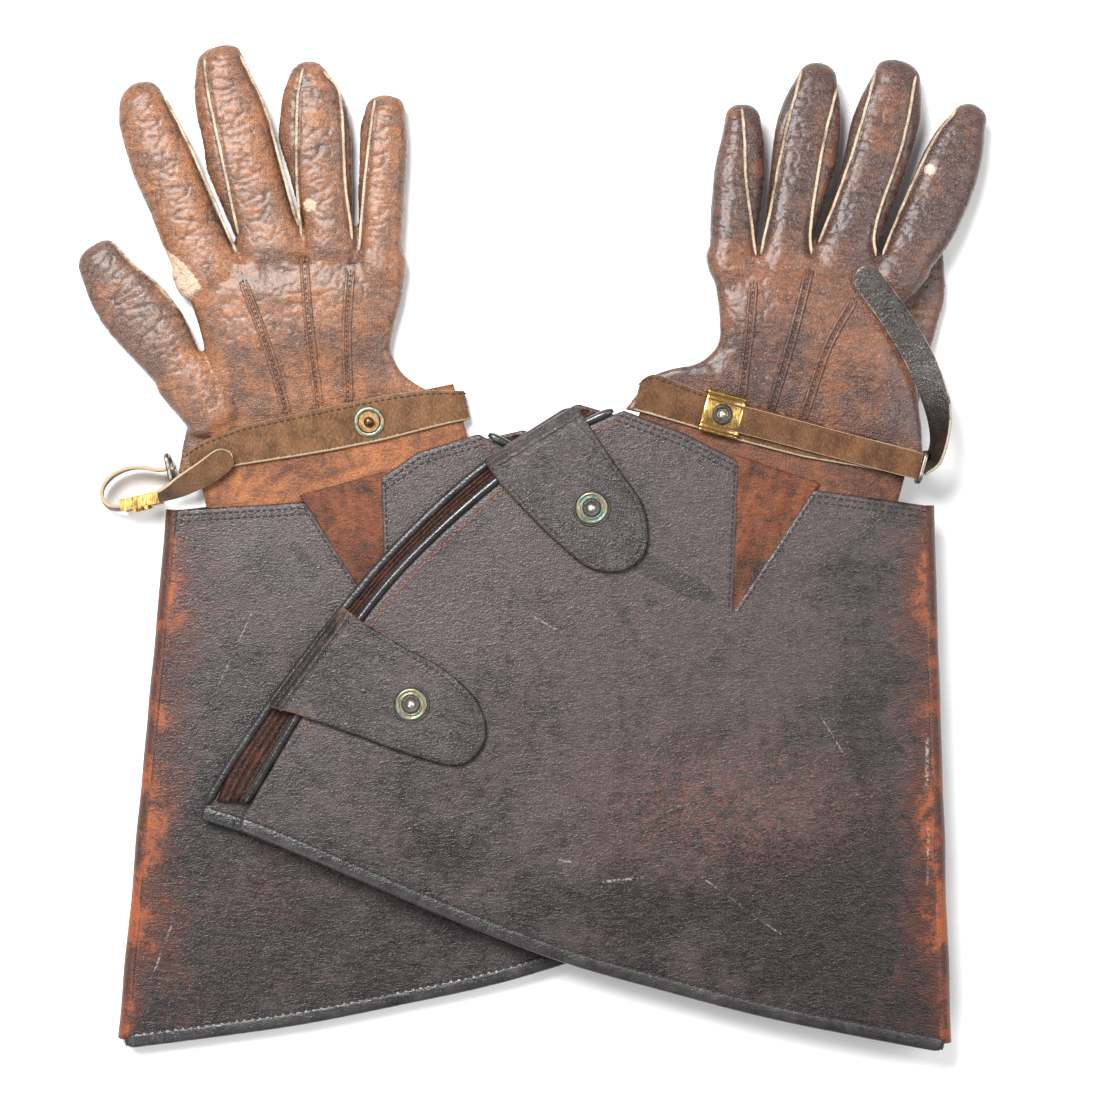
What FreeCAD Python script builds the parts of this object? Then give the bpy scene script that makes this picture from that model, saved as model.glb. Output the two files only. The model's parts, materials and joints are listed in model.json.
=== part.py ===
import FreeCAD, Part
import math
import os

# A pair of leather gauntlet riding gloves lying flat, backs up, one across the other.
# Millimetres. Z = 0 is the table, +Y points to the fingers, the origin is the middle of the pair.
# Each glove is built in its own frame: +x towards the thumb, +y towards the fingers,
# x = y = 0 in the middle of the mouth of the wrist gusset. The right glove is the mirror image.

V = FreeCAD.Vector
Z_AXIS = V(0, 0, 1)

# Leather and cuff
LEATHER = 2.2               # stiff cuff leather
CUFF_GAP = 6.8              # clear height inside the flattened cuff
CUFF_HEIGHT = 2 * LEATHER + CUFF_GAP
FRONT_Z = LEATHER + CUFF_GAP
CUFF_MID_Z = CUFF_HEIGHT / 2
SKIN = 1.3                  # soft hand leather
BINDING_WIDTH = 7.0
BINDING_SKIN = 0.6
PIPING_R = 1.9

# Cuff outline, glove frame
FOLD_TOP = (68.0, -14.0)
FOLD_HEM = (76.0, -264.0)
HEM = [
    (38, -256.8), (-5, -248.0), (-50, -236.3), (-95, -223.5),
    (-140, -206.8), (-180, -190.0), (-222, -172.0),
]
BINDING_START = (73.8, -263.6)    # the binding stops short of the side strip
HEM_BACK_END = (-265.4, -158.0)
HEM_FRONT_END = (-247.0, -162.0)
OPENING_FRONT = [(-222, -119), (-200, -83), (-178, -53), (-153, -27), (-124, -2), (-95, 17.5)]
OPENING_FRONT_TOP = (-70.0, 29.5)
OPENING_BACK = [(-252, -134), (-233, -106), (-216, -83), (-198, -60), (-172, -30), (-136, 3)]
OPENING_BACK_TOP = (-91.0, 33.0)
TOP_EDGE_BACK = [(-55, 22), (-15, 7), (20, -5)]
GUSSET_TIP_Y = -62.5
GUSSET_HALF_MOUTH = 17.0

# Wrist: a line across the glove, falling towards the thumb
WRIST_SLOPE = -15.5
SLEEVE_HALF = 66.0
SLEEVE_H = 3.2
SLEEVE_DEPTH = 30.0          # how far the sleeve reaches down from the middle of the band
BAND_SKIN = 1.8
BAND_WIDTH = 23.0
BAND_TAPER = 3.0
BAND_TOP_Z = CUFF_MID_Z + SLEEVE_H + BAND_SKIN + 0.1
WRIST_BEFORE, WRIST_AFTER = 1.0, 3.0

# Hand and digits
HAND_H = 7.6
HAND_Z = 8.2
HINGE_BEFORE, HINGE_AFTER = 5.0, 4.0
FORK_BAND = 5.0             # height of the side strip let in between two fingers

# Press studs and hardware
STUD_BASE_R, STUD_STEM_R, STUD_BALL_R = 4.8, 1.5, 2.4
SOCKET_R, SOCKET_HOLE_R = 7.5, 4.3
TAB_Z, TAB_SKIN = 12.6, 2.0
TAB_FOLD_R = (TAB_Z + TAB_SKIN - LEATHER) / 2
TAB_HINGE_AT = 11.0         # from the fold's outside to the hinge line
TAB_GAP_BEFORE = 1.8
STRAP_W, STRAP_T = 12.0, 1.8
STRAP_Z = BAND_TOP_Z + 1.9
LOOP_Z = 10.2                # the loose strap and its slide stand on edge at this height
RING_HALF, RING_WIRE = 6.7, 1.1
RING_LOW_Z, RING_HIGH_Z = 3.4, 16.0
SLIDE_LONG, SLIDE_WIDE, SLIDE_T = 18.0, 20.0, 1.4

# Tabs: fold ends on the back panel's edge, then the flap's outline as (along the fold, away from it)
UPPER_TAB = {
    "fold": ((-135, 6), (-91, 33)),
    "outline": [
        (25, 12), (26, 36), (27, 54), (22, 68), (14, 76),
        (2, 76), (-9, 67), (-15, 51), (-20, 32), (-24, 12),
    ],
    "snap": (6.2, 44.5),
}
LOWER_TAB = {
    "fold": ((-233, -106), (-198, -59)),
    "outline": [
        (28, 12), (30, 32), (33, 54), (31, 74), (22, 87),
        (10, 90), (0, 84), (-9, 61), (-15, 41), (-24, 12),
    ],
    "snap": (11.2, 52.3),
}

# Digit: hinge point, tip, width at the root and near the tip, height of the centre line at both
# ends, half thickness at both ends, and which sides carry a fork strip (1 towards the thumb)
LEFT = {
    "name": "left",
    "turn": 0.0,
    "mirror": False,
    "origin": (111.1, 32.0),
    "lift": 17.0,
    "droop": 5.0,
    "gusset": (0.0, -19.8),
    "band_at": (0.0, 19.5),
    "ring_at": (66.5, 3.5),
    "slide_at": (-24.8, 27.5),
    "palm": [(15, 60, 43, 0), (15, 80, 42, 0), (18, 98, 49, 0), (20, 110, 50, 0)],
    "digits": {
        "index": ((60, 94), (93, 172), 29.4, 26, (0, 0), (7.0, 6.2), (-1,)),
        "middle": ((32.2, 101), (57.5, 193), 28.6, 29, (0, 0), (7.0, 6.2), (-1, 1)),
        "ring": ((4.6, 101), (19, 191.8), 26.5, 27, (0, 0), (7.0, 6.2), (-1, 1)),
        "little": ((-20.5, 99), (-15.5, 172), 23, 24, (0, 0), (6.6, 5.8), (1,)),
        "thumb": ((53, 38), (67, 113), 31, 28, (-13.0, -11.2), (4.8, 3.6), ()),
    },
    "points": [((-10.6, 87), (-13.5, 58)), ((14.5, 92), (5.5, 59)), ((35.4, 80), (24.0, 59))],
}
RIGHT = {
    "name": "right",
    "turn": 3.4,
    "mirror": True,
    "origin": (-97.1, 26.1),
    "lift": 0.0,
    "droop": 0.0,
    "gusset": (-9.0, -32.5),
    "band_at": (0.0, 26.5),
    "ring_at": (71.5, 4.5),
    "slide_at": (-19.1, 32.0),
    "palm": [(15, 66, 44, 0), (18, 86, 49, 0), (21, 104, 53, 0), (22, 124, 54, 0)],
    "digits": {
        "index": ((60, 99.5), (97.3, 183.2), 32, 27, (0, 0), (7.0, 6.2), (-1,)),
        "middle": ((32, 113), (62.4, 201.8), 28.6, 30, (0, 0), (7.0, 6.2), (-1, 1)),
        "ring": ((5, 115.5), (19.3, 197.4), 26.0, 28.4, (0, 0), (7.0, 6.2), (-1, 1)),
        "little": ((-20.5, 107), (-17.9, 184), 23, 24, (0, 0), (6.6, 5.8), (1,)),
        "thumb": ((67, 48), (114, 107), 33, 29, (-1.0, -2.0), (6.2, 5.4), ()),
    },
    "points": [((42, 93), (29.5, 63)), ((15.3, 106), (9.0, 65)), ((-6.7, 100), (-7.0, 65))],
}


def unit(vector):
    return vector / vector.Length


def side_of(direction):
    """The direction a quarter turn clockwise from the given one."""
    return V(direction.y, -direction.x, 0)


def wrist_along():
    angle = math.radians(WRIST_SLOPE)
    return V(math.cos(angle), math.sin(angle), 0)


def wrist_up():
    along = wrist_along()
    return V(-along.y, along.x, 0)


def spline(points):
    curve = Part.BSplineCurve()
    curve.interpolate([V(p[0], p[1], 0) for p in points])
    return curve.toShape()


def polyline(points, z=0.0):
    return Part.makePolygon([V(p[0], p[1], z) for p in points])


def plate(edges, low, high):
    """A flat piece: its outline given as edges in the plane z = 0."""
    face = Part.Face(Part.Wire(Part.__sortEdges__(edges)))
    face.translate(V(0, 0, low))
    return face.extrude(V(0, 0, high - low))


def box_between(x0, x1, y0, y1, z0, z1):
    return Part.makeBox(x1 - x0, y1 - y0, z1 - z0, V(x0, y0, z0))


def shifted_in(points, distance):
    """A row of points moved sideways, to the left of its own direction of travel."""
    moved = []
    for i, point in enumerate(points):
        ahead = points[min(i + 1, len(points) - 1)]
        behind = points[max(i - 1, 0)]
        way = unit(V(ahead[0] - behind[0], ahead[1] - behind[1], 0))
        moved.append((point[0] - way.y * distance, point[1] + way.x * distance))
    return moved


def loop_section(centre, half_width, half_height, turn=0.0, power=2.7):
    """A rounded closed curve standing across the y direction."""
    points = []
    for step in range(20):
        angle = 2 * math.pi * (step + 5.5) / 20
        c, s = math.cos(angle), math.sin(angle)
        x = math.copysign(abs(c) ** (2 / power), c) * half_width
        z = math.copysign(abs(s) ** (2 / power), s) * half_height
        points.append(V(x, 0, z))
    curve = Part.BSplineCurve()
    curve.interpolate(Points=points, PeriodicFlag=True, Parameters=[step / 20 for step in range(21)])
    wire = Part.Wire(curve.toShape())
    wire.rotate(V(0, 0, 0), Z_AXIS, turn)
    wire.translate(centre)
    return wire


def hollow(sections, skin):
    """A tube through sections (centre, half width, half height, turn), open at its first end."""
    outer = Part.makeLoft([loop_section(*s) for s in sections], True, True)
    inner_sections = []
    last = len(sections) - 1
    for i, (centre, half_width, half_height, turn) in enumerate(sections):
        move = V(0, -1.0, 0) if i == 0 else (V(0, -skin, 0) if i == last else V(0, 0, 0))
        inner_sections.append((centre + move, half_width - skin, half_height - skin, turn))
    inner = Part.makeLoft([loop_section(*s) for s in inner_sections], True, True)
    return outer.cut(inner)


# ---- Cuff -----------------------------------------------------------------------------------

def hem_curve(end):
    return [FOLD_HEM] + HEM + [end]


def panel_hem(end):
    """The panels' lower edge, inside the binding, starting on the fold line."""
    hem = shifted_in(hem_curve(end), -1.0)
    hem[0] = (FOLD_HEM[0] - 0.1, hem[0][1])
    return hem


def gusset_points(glove):
    middle, tip_x = glove["gusset"]
    thumb_side = (middle + GUSSET_HALF_MOUTH, -6.8)
    little_side = (middle - GUSSET_HALF_MOUTH, 6.2)
    return thumb_side, (tip_x, GUSSET_TIP_Y), little_side


def cuff_front_panel(glove):
    hem = panel_hem(HEM_FRONT_END)
    thumb_side, tip, little_side = gusset_points(glove)
    edges = [
        polyline([hem[0], FOLD_TOP, thumb_side, tip, little_side, (-42, 19), OPENING_FRONT_TOP]),
        spline([OPENING_FRONT_TOP] + OPENING_FRONT[::-1] + [hem[-1]]),
        spline(hem),
    ]
    return plate(flat_edges(edges), FRONT_Z, CUFF_HEIGHT)


def cuff_back_panel(glove):
    hem = panel_hem(HEM_BACK_END)
    edges = [
        polyline([hem[0], FOLD_TOP]),
        spline([FOLD_TOP] + TOP_EDGE_BACK[::-1] + [OPENING_BACK_TOP]),
        spline([OPENING_BACK_TOP] + OPENING_BACK[::-1] + [hem[-1]]),
        spline(hem),
    ]
    return plate(flat_edges(edges), 0, LEATHER)


def flat_edges(shapes):
    edges = []
    for shape in shapes:
        edges.extend(shape.Edges)
    return edges


def side_strip(glove):
    """The strip folded round the thumb-side edge of the cuff."""
    top, hem = V(*FOLD_TOP, CUFF_MID_Z), V(*FOLD_HEM, CUFF_MID_Z)
    way = unit(hem - top)
    length = (hem - top).Length - 1.0
    outer = Part.makeCylinder(CUFF_MID_Z, length, top, way)
    inner = Part.makeCylinder(CUFF_MID_Z - LEATHER, length, top, way)
    inside = box_between(-80, 0, -length - 10, 40, -1, CUFF_HEIGHT + 1)
    inside.rotate(V(0, 0, 0), Z_AXIS, math.degrees(math.atan2(way.x, -way.y)))
    inside.translate(V(top.x, top.y, 0))
    return outer.cut(inner).cut(inside)


def between_curves(near, far):
    """Outline of the band between two curves that run the same way."""
    ends = [polyline([near[-1], far[-1]]), polyline([far[0], near[0]])]
    return flat_edges([spline(near), ends[0], spline(far), ends[1]])


def binding_strip(end, low, high, slot_low, slot_high):
    hem = [BINDING_START] + HEM + [end]
    inner = shifted_in(hem, -BINDING_WIDTH)
    slot = shifted_in(hem, -1.0)
    far = shifted_in(hem, -BINDING_WIDTH - 5.0)
    strip = plate(between_curves(hem, inner), low, high)
    return strip.cut(plate(between_curves(slot, far), slot_low, slot_high))


def hem_binding(glove):
    low, high = FRONT_Z - BINDING_SKIN, CUFF_HEIGHT + BINDING_SKIN
    front = binding_strip(HEM_FRONT_END, low, high, FRONT_Z, CUFF_HEIGHT)
    back = binding_strip(HEM_BACK_END, 0, LEATHER + BINDING_SKIN, -1, LEATHER)
    return Part.makeCompound([front, back])


def opening_piping(glove):
    """A covered cord along the front panel's open edge."""
    points = [OPENING_FRONT_TOP] + OPENING_FRONT[::-1] + [(HEM_FRONT_END[0] + 4, HEM_FRONT_END[1] + 9)]
    outside = shifted_in(points, -PIPING_R - 0.1)
    z = FRONT_Z + LEATHER / 2
    curve = Part.BSplineCurve()
    curve.interpolate([V(p[0], p[1], z) for p in outside])
    path = Part.Wire(curve.toShape())
    start, way = curve.value(curve.FirstParameter), curve.tangent(curve.FirstParameter)[0]
    ring = Part.Wire(Part.Edge(Part.Circle(start, way, PIPING_R)))
    return path.makePipeShell([ring], True, False)


def bellows_gusset(glove):
    """The folded inset that joins the two open edges: a sideways V in section."""
    points = [(-95, 17.5)] + OPENING_FRONT[-2::-1] + [(-240, -150)]
    skin = 1.2
    rest_z = LEATHER + 0.1
    section = [
        (3, FRONT_Z - 0.1), (20, 6.4), (7, rest_z + skin), (7, rest_z),
        (8.5, rest_z), (22, 6.4), (5, FRONT_Z - 0.1),
    ]
    wires = []
    for i, point in enumerate(points):
        ahead = points[min(i + 1, len(points) - 1)]
        behind = points[max(i - 1, 0)]
        inward = side_of(unit(V(behind[0] - ahead[0], behind[1] - ahead[1], 0)))
        corners = [V(point[0], point[1], 0) + inward * d + V(0, 0, z) for d, z in section]
        wires.append(Part.makePolygon(corners + [corners[0]]))
    return Part.makeLoft(wires, True, True)


def wrist_gusset(glove):
    thumb_side, tip, little_side = gusset_points(glove)
    outline = polyline([thumb_side, tip, little_side, thumb_side])
    return plate(outline.Edges, FRONT_Z + 0.2, CUFF_HEIGHT - 0.2)


# ---- Wrist ----------------------------------------------------------------------------------

def wrist_tube(glove, half_width, half_height, skin, low, high):
    """A flattened tube across the wrist line, between two distances along the glove."""
    outer = hollow_ends(half_width, half_height, low, high)
    inner = hollow_ends(half_width - skin, half_height - skin, low - 1, high + 1)
    return to_wrist(glove, outer.cut(inner))


def hollow_ends(half_width, half_height, low, high):
    ends = [loop_section(V(0, y, 0), half_width, half_height, 0.0, 4.0) for y in (low, high)]
    return Part.makeLoft(ends, True)


def to_wrist(glove, shape):
    """From the wrist's own frame (x along the band, y up the glove) to the glove's."""
    shape.rotate(V(0, 0, 0), Z_AXIS, WRIST_SLOPE)
    shape.translate(V(*glove["band_at"], CUFF_MID_Z))
    return shape


def wrist_sleeve(glove):
    return wrist_tube(glove, SLEEVE_HALF - 2.5, SLEEVE_H, SKIN, -SLEEVE_DEPTH, BAND_WIDTH / 2 - 1.0)


def wrist_band(glove):
    half = BAND_WIDTH / 2
    outer = hollow_ends(SLEEVE_HALF, SLEEVE_H + BAND_SKIN + 0.1, -half, half)
    inner = hollow_ends(SLEEVE_HALF - BAND_SKIN, SLEEVE_H + 0.1, -half - 1, half + 1)
    band = outer.cut(inner)
    trim = box_between(-10, 160, -30, 0, -20, 20)
    trim.rotate(V(0, 0, 0), Z_AXIS, BAND_TAPER)
    trim.translate(V(-70, -half, 0))
    return to_wrist(glove, band.cut(trim))


def wrist_axis(glove):
    """A point on the wrist's bending line, in the glove frame."""
    return V(*glove["band_at"], CUFF_MID_Z) + wrist_up() * (BAND_WIDTH / 2 + WRIST_BEFORE)


# ---- Hand and digits ------------------------------------------------------------------------

def palm_sections(glove):
    start = wrist_axis(glove) + wrist_up() * WRIST_AFTER
    sections = [(start, 59.0, SLEEVE_H + BAND_SKIN, WRIST_SLOPE)]
    for x, y, half_width, turn in glove["palm"]:
        sections.append((V(x, y, HAND_Z), half_width, HAND_H, turn))
    return sections


def palm_half(glove, low, high):
    """The hand's shell between two heights, ending short of each digit's hinge."""
    half_shell = hollow(palm_sections(glove), SKIN).common(box_between(-150, 150, -50, 300, low, high))
    for name, digit in glove["digits"].items():
        thumb_lies_under = name == "thumb" and glove["lift"]
        if thumb_lies_under:
            continue
        (hinge, tip, root_width) = digit[:3]
        half = root_width / 2 + (1.5 if name == "thumb" else 4.0)
        clear = box_between(-half, half, -HINGE_BEFORE, 60, -20, 40)
        clear.rotate(V(0, 0, 0), Z_AXIS, -lean(digit))
        clear.translate(V(hinge[0], hinge[1], 0))
        half_shell = half_shell.cut(clear)
    return biggest(half_shell)


def biggest(shape):
    return max(shape.Solids, key=lambda solid: solid.Volume)


def lean(digit):
    """Degrees from the glove's long axis towards the thumb."""
    hinge, tip = digit[:2]
    return math.degrees(math.atan2(tip[0] - hinge[0], tip[1] - hinge[1]))


def rib(start, end, z):
    """A stitched ridge on the back of the hand."""
    way = V(end[0] - start[0], end[1] - start[1], 0)
    ridge = box_between(0, way.Length, -1.3, 1.3, -1.0, 0.9)
    ridge.rotate(V(0, 0, 0), Z_AXIS, math.degrees(math.atan2(way.y, way.x)))
    ridge.translate(V(start[0], start[1], z))
    return ridge


def hand_back(glove):
    shell = palm_half(glove, HAND_Z, 60)
    for start, end in glove["points"]:
        shell = shell.fuse(rib(start, end, HAND_Z + HAND_H - 0.2))
    return drooped(glove, biggest(shell))


def hand_palm(glove):
    return drooped(glove, palm_half(glove, -60, HAND_Z))


def drooped(glove, shape):
    """Hand parts lean down from the wrist line, because the hand rests lower than its cuff."""
    shape.rotate(wrist_axis(glove), wrist_along(), -glove["droop"])
    return shape


def digit_shell(digit):
    hinge, tip, root_width, tip_width, heights, halves = digit[:6]
    length = math.hypot(tip[0] - hinge[0], tip[1] - hinge[1])
    w0, w1 = root_width / 2, tip_width / 2
    h0, h1 = halves
    z0, z1 = heights
    profile = [(HINGE_AFTER, w0, h0)]
    for share in (0.35, 0.6, 0.8):
        mix = share / 0.8
        profile.append((share * length, w0 + (w1 - w0) * mix, h0 + (h1 - h0) * mix))
    for share, width_share, height_share in ((0.9, 0.93, 0.94), (0.96, 0.76, 0.8), (1, 0.42, 0.5)):
        profile.append((share * length, width_share * w1, height_share * h1))
    sections = []
    for along, half_width, half_height in profile:
        z = z0 + (z1 - z0) * along / length
        sections.append((V(0, along, z), half_width, half_height, 0.0))
    return hollow(sections, SKIN)


def fork_region(digit):
    """Where the let-in side strips run: the middle height, on the sides that face another finger."""
    forks = digit[6]
    low = -60 if -1 in forks else 0
    high = 60 if 1 in forks else 0
    return box_between(low, high, -10, 150, -FORK_BAND / 2, FORK_BAND / 2)


def to_digit(glove, digit, shape):
    hinge = digit[0]
    shape.rotate(V(0, 0, 0), Z_AXIS, -lean(digit))
    shape.translate(V(hinge[0], hinge[1], HAND_Z))
    return drooped(glove, shape)


def stall(glove, name):
    """The back and palm leathers of a digit, as separate solids."""
    digit = glove["digits"][name]
    shell = digit_shell(digit)
    if digit[6]:
        shell = shell.cut(fork_region(digit))
    middle = (digit[4][0] + digit[4][1]) / 2
    top = shell.common(box_between(-60, 60, -10, 150, middle, 60))
    bottom = shell.common(box_between(-60, 60, -10, 150, -60, middle))
    return to_digit(glove, digit, Part.makeCompound([biggest(top), biggest(bottom)]))


def fourchette(glove, name):
    digit = glove["digits"][name]
    strip = digit_shell(digit).common(fork_region(digit))
    return to_digit(glove, digit, Part.makeCompound(strip.Solids))


# ---- Tabs and press studs -------------------------------------------------------------------

def tab_frame(tab):
    """Middle of the fold, direction along the fold, direction away from it over the front."""
    start, end = (V(*p, 0) for p in tab["fold"])
    along = unit(end - start)
    return (start + end) / 2, along, side_of(along)


def from_tab(tab, shape):
    """From the tab's own frame (x along the fold, y away from it) to the glove's."""
    middle, along, away = tab_frame(tab)
    rows = [(along.x, -away.x, 0, middle.x), (along.y, -away.y, 0, middle.y), (0, 0, 1, 0), (0, 0, 0, 1)]
    return shape.transformed(FreeCAD.Matrix(*(value for row in rows for value in row)))


def tab_root(tab):
    """The sewn end on the back panel and the half-round fold up and over the opening."""
    (x0, y0), (x1, y1) = tab["fold"]
    half = math.hypot(x1 - x0, y1 - y0) / 2 - 1.0
    middle_z = LEATHER + TAB_FOLD_R
    start = V(-half, -TAB_FOLD_R, middle_z)
    outer = Part.makeCylinder(TAB_FOLD_R, 2 * half, start, V(1, 0, 0))
    inner = Part.makeCylinder(TAB_FOLD_R - TAB_SKIN, 2 * half, start, V(1, 0, 0))
    fold = outer.cut(inner).cut(box_between(-half - 1, half + 1, -40, -TAB_FOLD_R, 0, 30))
    sewn = box_between(-half, half, -15.0, -TAB_FOLD_R, LEATHER, LEATHER + TAB_SKIN)
    over_end = -TAB_HINGE_AT + TAB_GAP_BEFORE
    over = box_between(-half, half, over_end, -TAB_FOLD_R, TAB_Z, TAB_Z + TAB_SKIN)
    return from_tab(tab, fold.fuse([sewn, over]))


def tab_roots(glove):
    return Part.makeCompound([tab_root(UPPER_TAB), tab_root(LOWER_TAB)])


def tab_flap(tab):
    outline = [(x, -y) for x, y in tab["outline"]]
    face_edges = flat_edges([spline(outline), polyline([outline[-1], outline[0]])])
    flap = plate(face_edges, TAB_Z, TAB_Z + TAB_SKIN)
    x, y = tab["snap"]
    hole = Part.makeCylinder(SOCKET_HOLE_R + 0.3, 10, V(x, -y, TAB_Z - 4))
    return from_tab(tab, flap.cut(hole))


def upper_tab(glove):
    return tab_flap(UPPER_TAB)


def lower_tab(glove):
    return tab_flap(LOWER_TAB)


def socket(outer_r, hole_r, z):
    """A ring-shaped press-stud socket with a rolled edge."""
    ring = Part.makeCylinder(outer_r, 1.3, V(0, 0, z)).cut(Part.makeCylinder(hole_r, 4, V(0, 0, z - 1)))
    rims = [edge for edge in ring.Edges if edge.BoundBox.ZMin > z + 1.2]
    return ring.makeFillet(0.55, rims)


def tab_socket(tab):
    x, y = tab["snap"]
    ring = socket(SOCKET_R, SOCKET_HOLE_R, TAB_Z + TAB_SKIN)
    ring.translate(V(x, -y, 0))
    return from_tab(tab, ring)


def upper_tab_socket(glove):
    return tab_socket(UPPER_TAB)


def lower_tab_socket(glove):
    return tab_socket(LOWER_TAB)


def stud(x, y, z):
    base = Part.makeCylinder(STUD_BASE_R, 0.9, V(x, y, z))
    stem = Part.makeCylinder(STUD_STEM_R, 2.6, V(x, y, z))
    ball = Part.makeSphere(STUD_BALL_R, V(x, y, z + 2.5))
    cap = box_between(x - 5, x + 5, y - 5, y + 5, z + 0.9, z + 9)
    return base.fuse([stem, ball.common(cap)])


def snap_point(tab):
    middle, along, away = tab_frame(tab)
    return middle + along * tab["snap"][0] + away * tab["snap"][1]


def press_studs(glove):
    upper, lower = snap_point(UPPER_TAB), snap_point(LOWER_TAB)
    on_band = V(*glove["slide_at"], 0)
    studs = [stud(upper.x, upper.y, CUFF_HEIGHT), stud(lower.x, lower.y, CUFF_HEIGHT)]
    studs.append(stud(on_band.x, on_band.y, BAND_TOP_Z))
    return Part.makeCompound(studs)


# ---- Strap, ring and slide ------------------------------------------------------------------

def rounded_block(thickness, half, low, high, corner):
    """A block standing across the x direction, rounded where its narrow faces meet."""
    block = box_between(-thickness / 2, thickness / 2, -half, half, low, high)
    corners = [edge for edge in block.Edges if edge.BoundBox.XLength > thickness / 2]
    return block.makeFillet(corner, corners)


def keeper_ring(glove):
    """A wire ring standing at the thumb-side end of the band; the strap runs through it."""
    wire_d = 2 * RING_WIRE
    half, low, high = RING_HALF + RING_WIRE, RING_LOW_Z - RING_WIRE, RING_HIGH_Z + RING_WIRE
    outer = rounded_block(wire_d, half, low, high, 4.0)
    inner = rounded_block(wire_d + 2, half - wire_d, low + wire_d, high - wire_d, 4.0 - RING_WIRE)
    ring = outer.cut(inner)
    ring = ring.makeFillet(0.8 * RING_WIRE, ring.Edges)
    ring.rotate(V(0, 0, 0), Z_AXIS, WRIST_SLOPE)
    ring.translate(V(*glove["ring_at"], 0))
    return ring


def ribbon(stations, width, thickness):
    """A strap through stations (x, y, z, edge-on angle), flat at 0 degrees and on edge at 90."""
    wires = []
    for i, (x, y, z, twist) in enumerate(stations):
        ahead = stations[min(i + 1, len(stations) - 1)]
        behind = stations[max(i - 1, 0)]
        way = unit(V(ahead[0] - behind[0], ahead[1] - behind[1], 0))
        across, up = side_of(way), Z_AXIS
        c, s = math.cos(math.radians(twist)), math.sin(math.radians(twist))
        wide = across * c + up * s
        thick = up * c - across * s
        corners = []
        for a, b in ((-1, -1), (1, -1), (1, 1), (-1, 1)):
            corners.append(V(x, y, z) + wide * (a * width / 2) + thick * (b * thickness / 2))
        wires.append(Part.makePolygon(corners + [corners[0]]))
    return Part.makeLoft(wires, True, True)


def strap_way(glove):
    slide, ring = V(*glove["slide_at"], 0), V(*glove["ring_at"], 0)
    return unit(ring - slide)


def left_strap(glove):
    """Fastened: from the slide on the band stud to the keeper ring."""
    slide, ring = V(*glove["slide_at"], 0), V(*glove["ring_at"], 0)
    way = strap_way(glove)
    start, end = slide + way * (SLIDE_LONG / 2 + 2.5), ring - way * 5.5
    length = (end - start).Length
    half = STRAP_W / 2
    run = box_between(0, length, -half, half, -STRAP_T / 2, STRAP_T / 2)
    eye = box_between(-6.5, 0.5, -half, half, -1.8, 1.8)
    eye = eye.cut(box_between(-5.75, -1.2, -half - 1, half + 1, -0.95, 0.95))
    strap = run.fuse(eye)
    strap.rotate(V(0, 0, 0), Z_AXIS, math.degrees(math.atan2(way.y, way.x)))
    strap.translate(V(start.x, start.y, STRAP_Z))
    return strap


def left_strap_tail(glove):
    """The free end past the ring, lying back over the edge of the hand."""
    ring_x, ring_y = glove["ring_at"]
    stations = [
        (ring_x + 5.5, ring_y + 0.5, STRAP_Z, 70),
        (ring_x + 8.0, 14, STRAP_Z + 1.5, 60),
        (74.8, 26, STRAP_Z + 2.5, 40),
        (71, 39, STRAP_Z + 2.3, 20),
        (63.5, 54, STRAP_Z + 0.8, 5),
        (53, 71, STRAP_Z + 0.2, 0),
        (39.5, 91, STRAP_Z - 0.6, 0),
    ]
    return ribbon(stations, STRAP_W, STRAP_T)


def right_strap(glove):
    """Unfastened: out of the ring on edge, round a loop and back over the band."""
    ring_x, ring_y = glove["ring_at"]
    stations = [
        (ring_x + 5.5, ring_y - 1.5, LOOP_Z, 90),
        (ring_x + 12, ring_y - 1.0, LOOP_Z, 90),
        (ring_x + 19, ring_y - 1.5, LOOP_Z, 90),
        (ring_x + 26, ring_y - 4.5, LOOP_Z, 90),
        (ring_x + 30, ring_y - 9.5, LOOP_Z, 90),
        (ring_x + 31, ring_y - 14.5, LOOP_Z, 90),
        (ring_x + 28, ring_y - 18.5, LOOP_Z, 90),
        right_slide_run(glove)[0],
        right_slide_run(glove)[1],
        (ring_x - 6.5, ring_y - 7.5, 14.0, 50),
        (ring_x - 16, ring_y - 1.5, 15.0, 25),
        (ring_x - 28, ring_y + 9, 15.0, 20),
    ]
    return ribbon(stations, STRAP_W, STRAP_T)


def right_slide_run(glove):
    """Ends of the straight length that the slide can move along."""
    ring_x, ring_y = glove["ring_at"]
    return (ring_x + 24.0, ring_y - 19.0, LOOP_Z, 90), (ring_x + 0.5, ring_y - 12.0, LOOP_Z, 90)


def slide_plate(step):
    """Stamped slide seen flat: two side bars, a middle plate raised by step, two end rails."""
    half_l, half_w = SLIDE_LONG / 2, SLIDE_WIDE / 2
    bars = []
    low, high = -SLIDE_T / 2, SLIDE_T / 2
    for bar_low, rail_low in ((-half_l, -half_w), (half_l - 3, half_w - 2.6)):
        bars.append(box_between(bar_low, bar_low + 3, -half_w, half_w, low, high))
        bars.append(box_between(-half_l, half_l, rail_low, rail_low + 2.6, low, high + step))
    middle = box_between(-4.4, 4.4, -half_w, half_w, low + step, high + step)
    dome = Part.makeCylinder(4.7, 1.6, V(0, 0, step + SLIDE_T / 2 - 0.2))
    frame = bars[0].fuse(bars[1:] + [middle, dome])
    return frame.cut(Part.makeCylinder(3.1, 20, V(0, 0, -10)))


def left_slide_buckle(glove):
    way = strap_way(glove)
    buckle = slide_plate(0.0)
    buckle.rotate(V(0, 0, 0), Z_AXIS, math.degrees(math.atan2(way.y, way.x)))
    buckle.translate(V(*glove["slide_at"], STRAP_Z))
    return buckle


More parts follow.
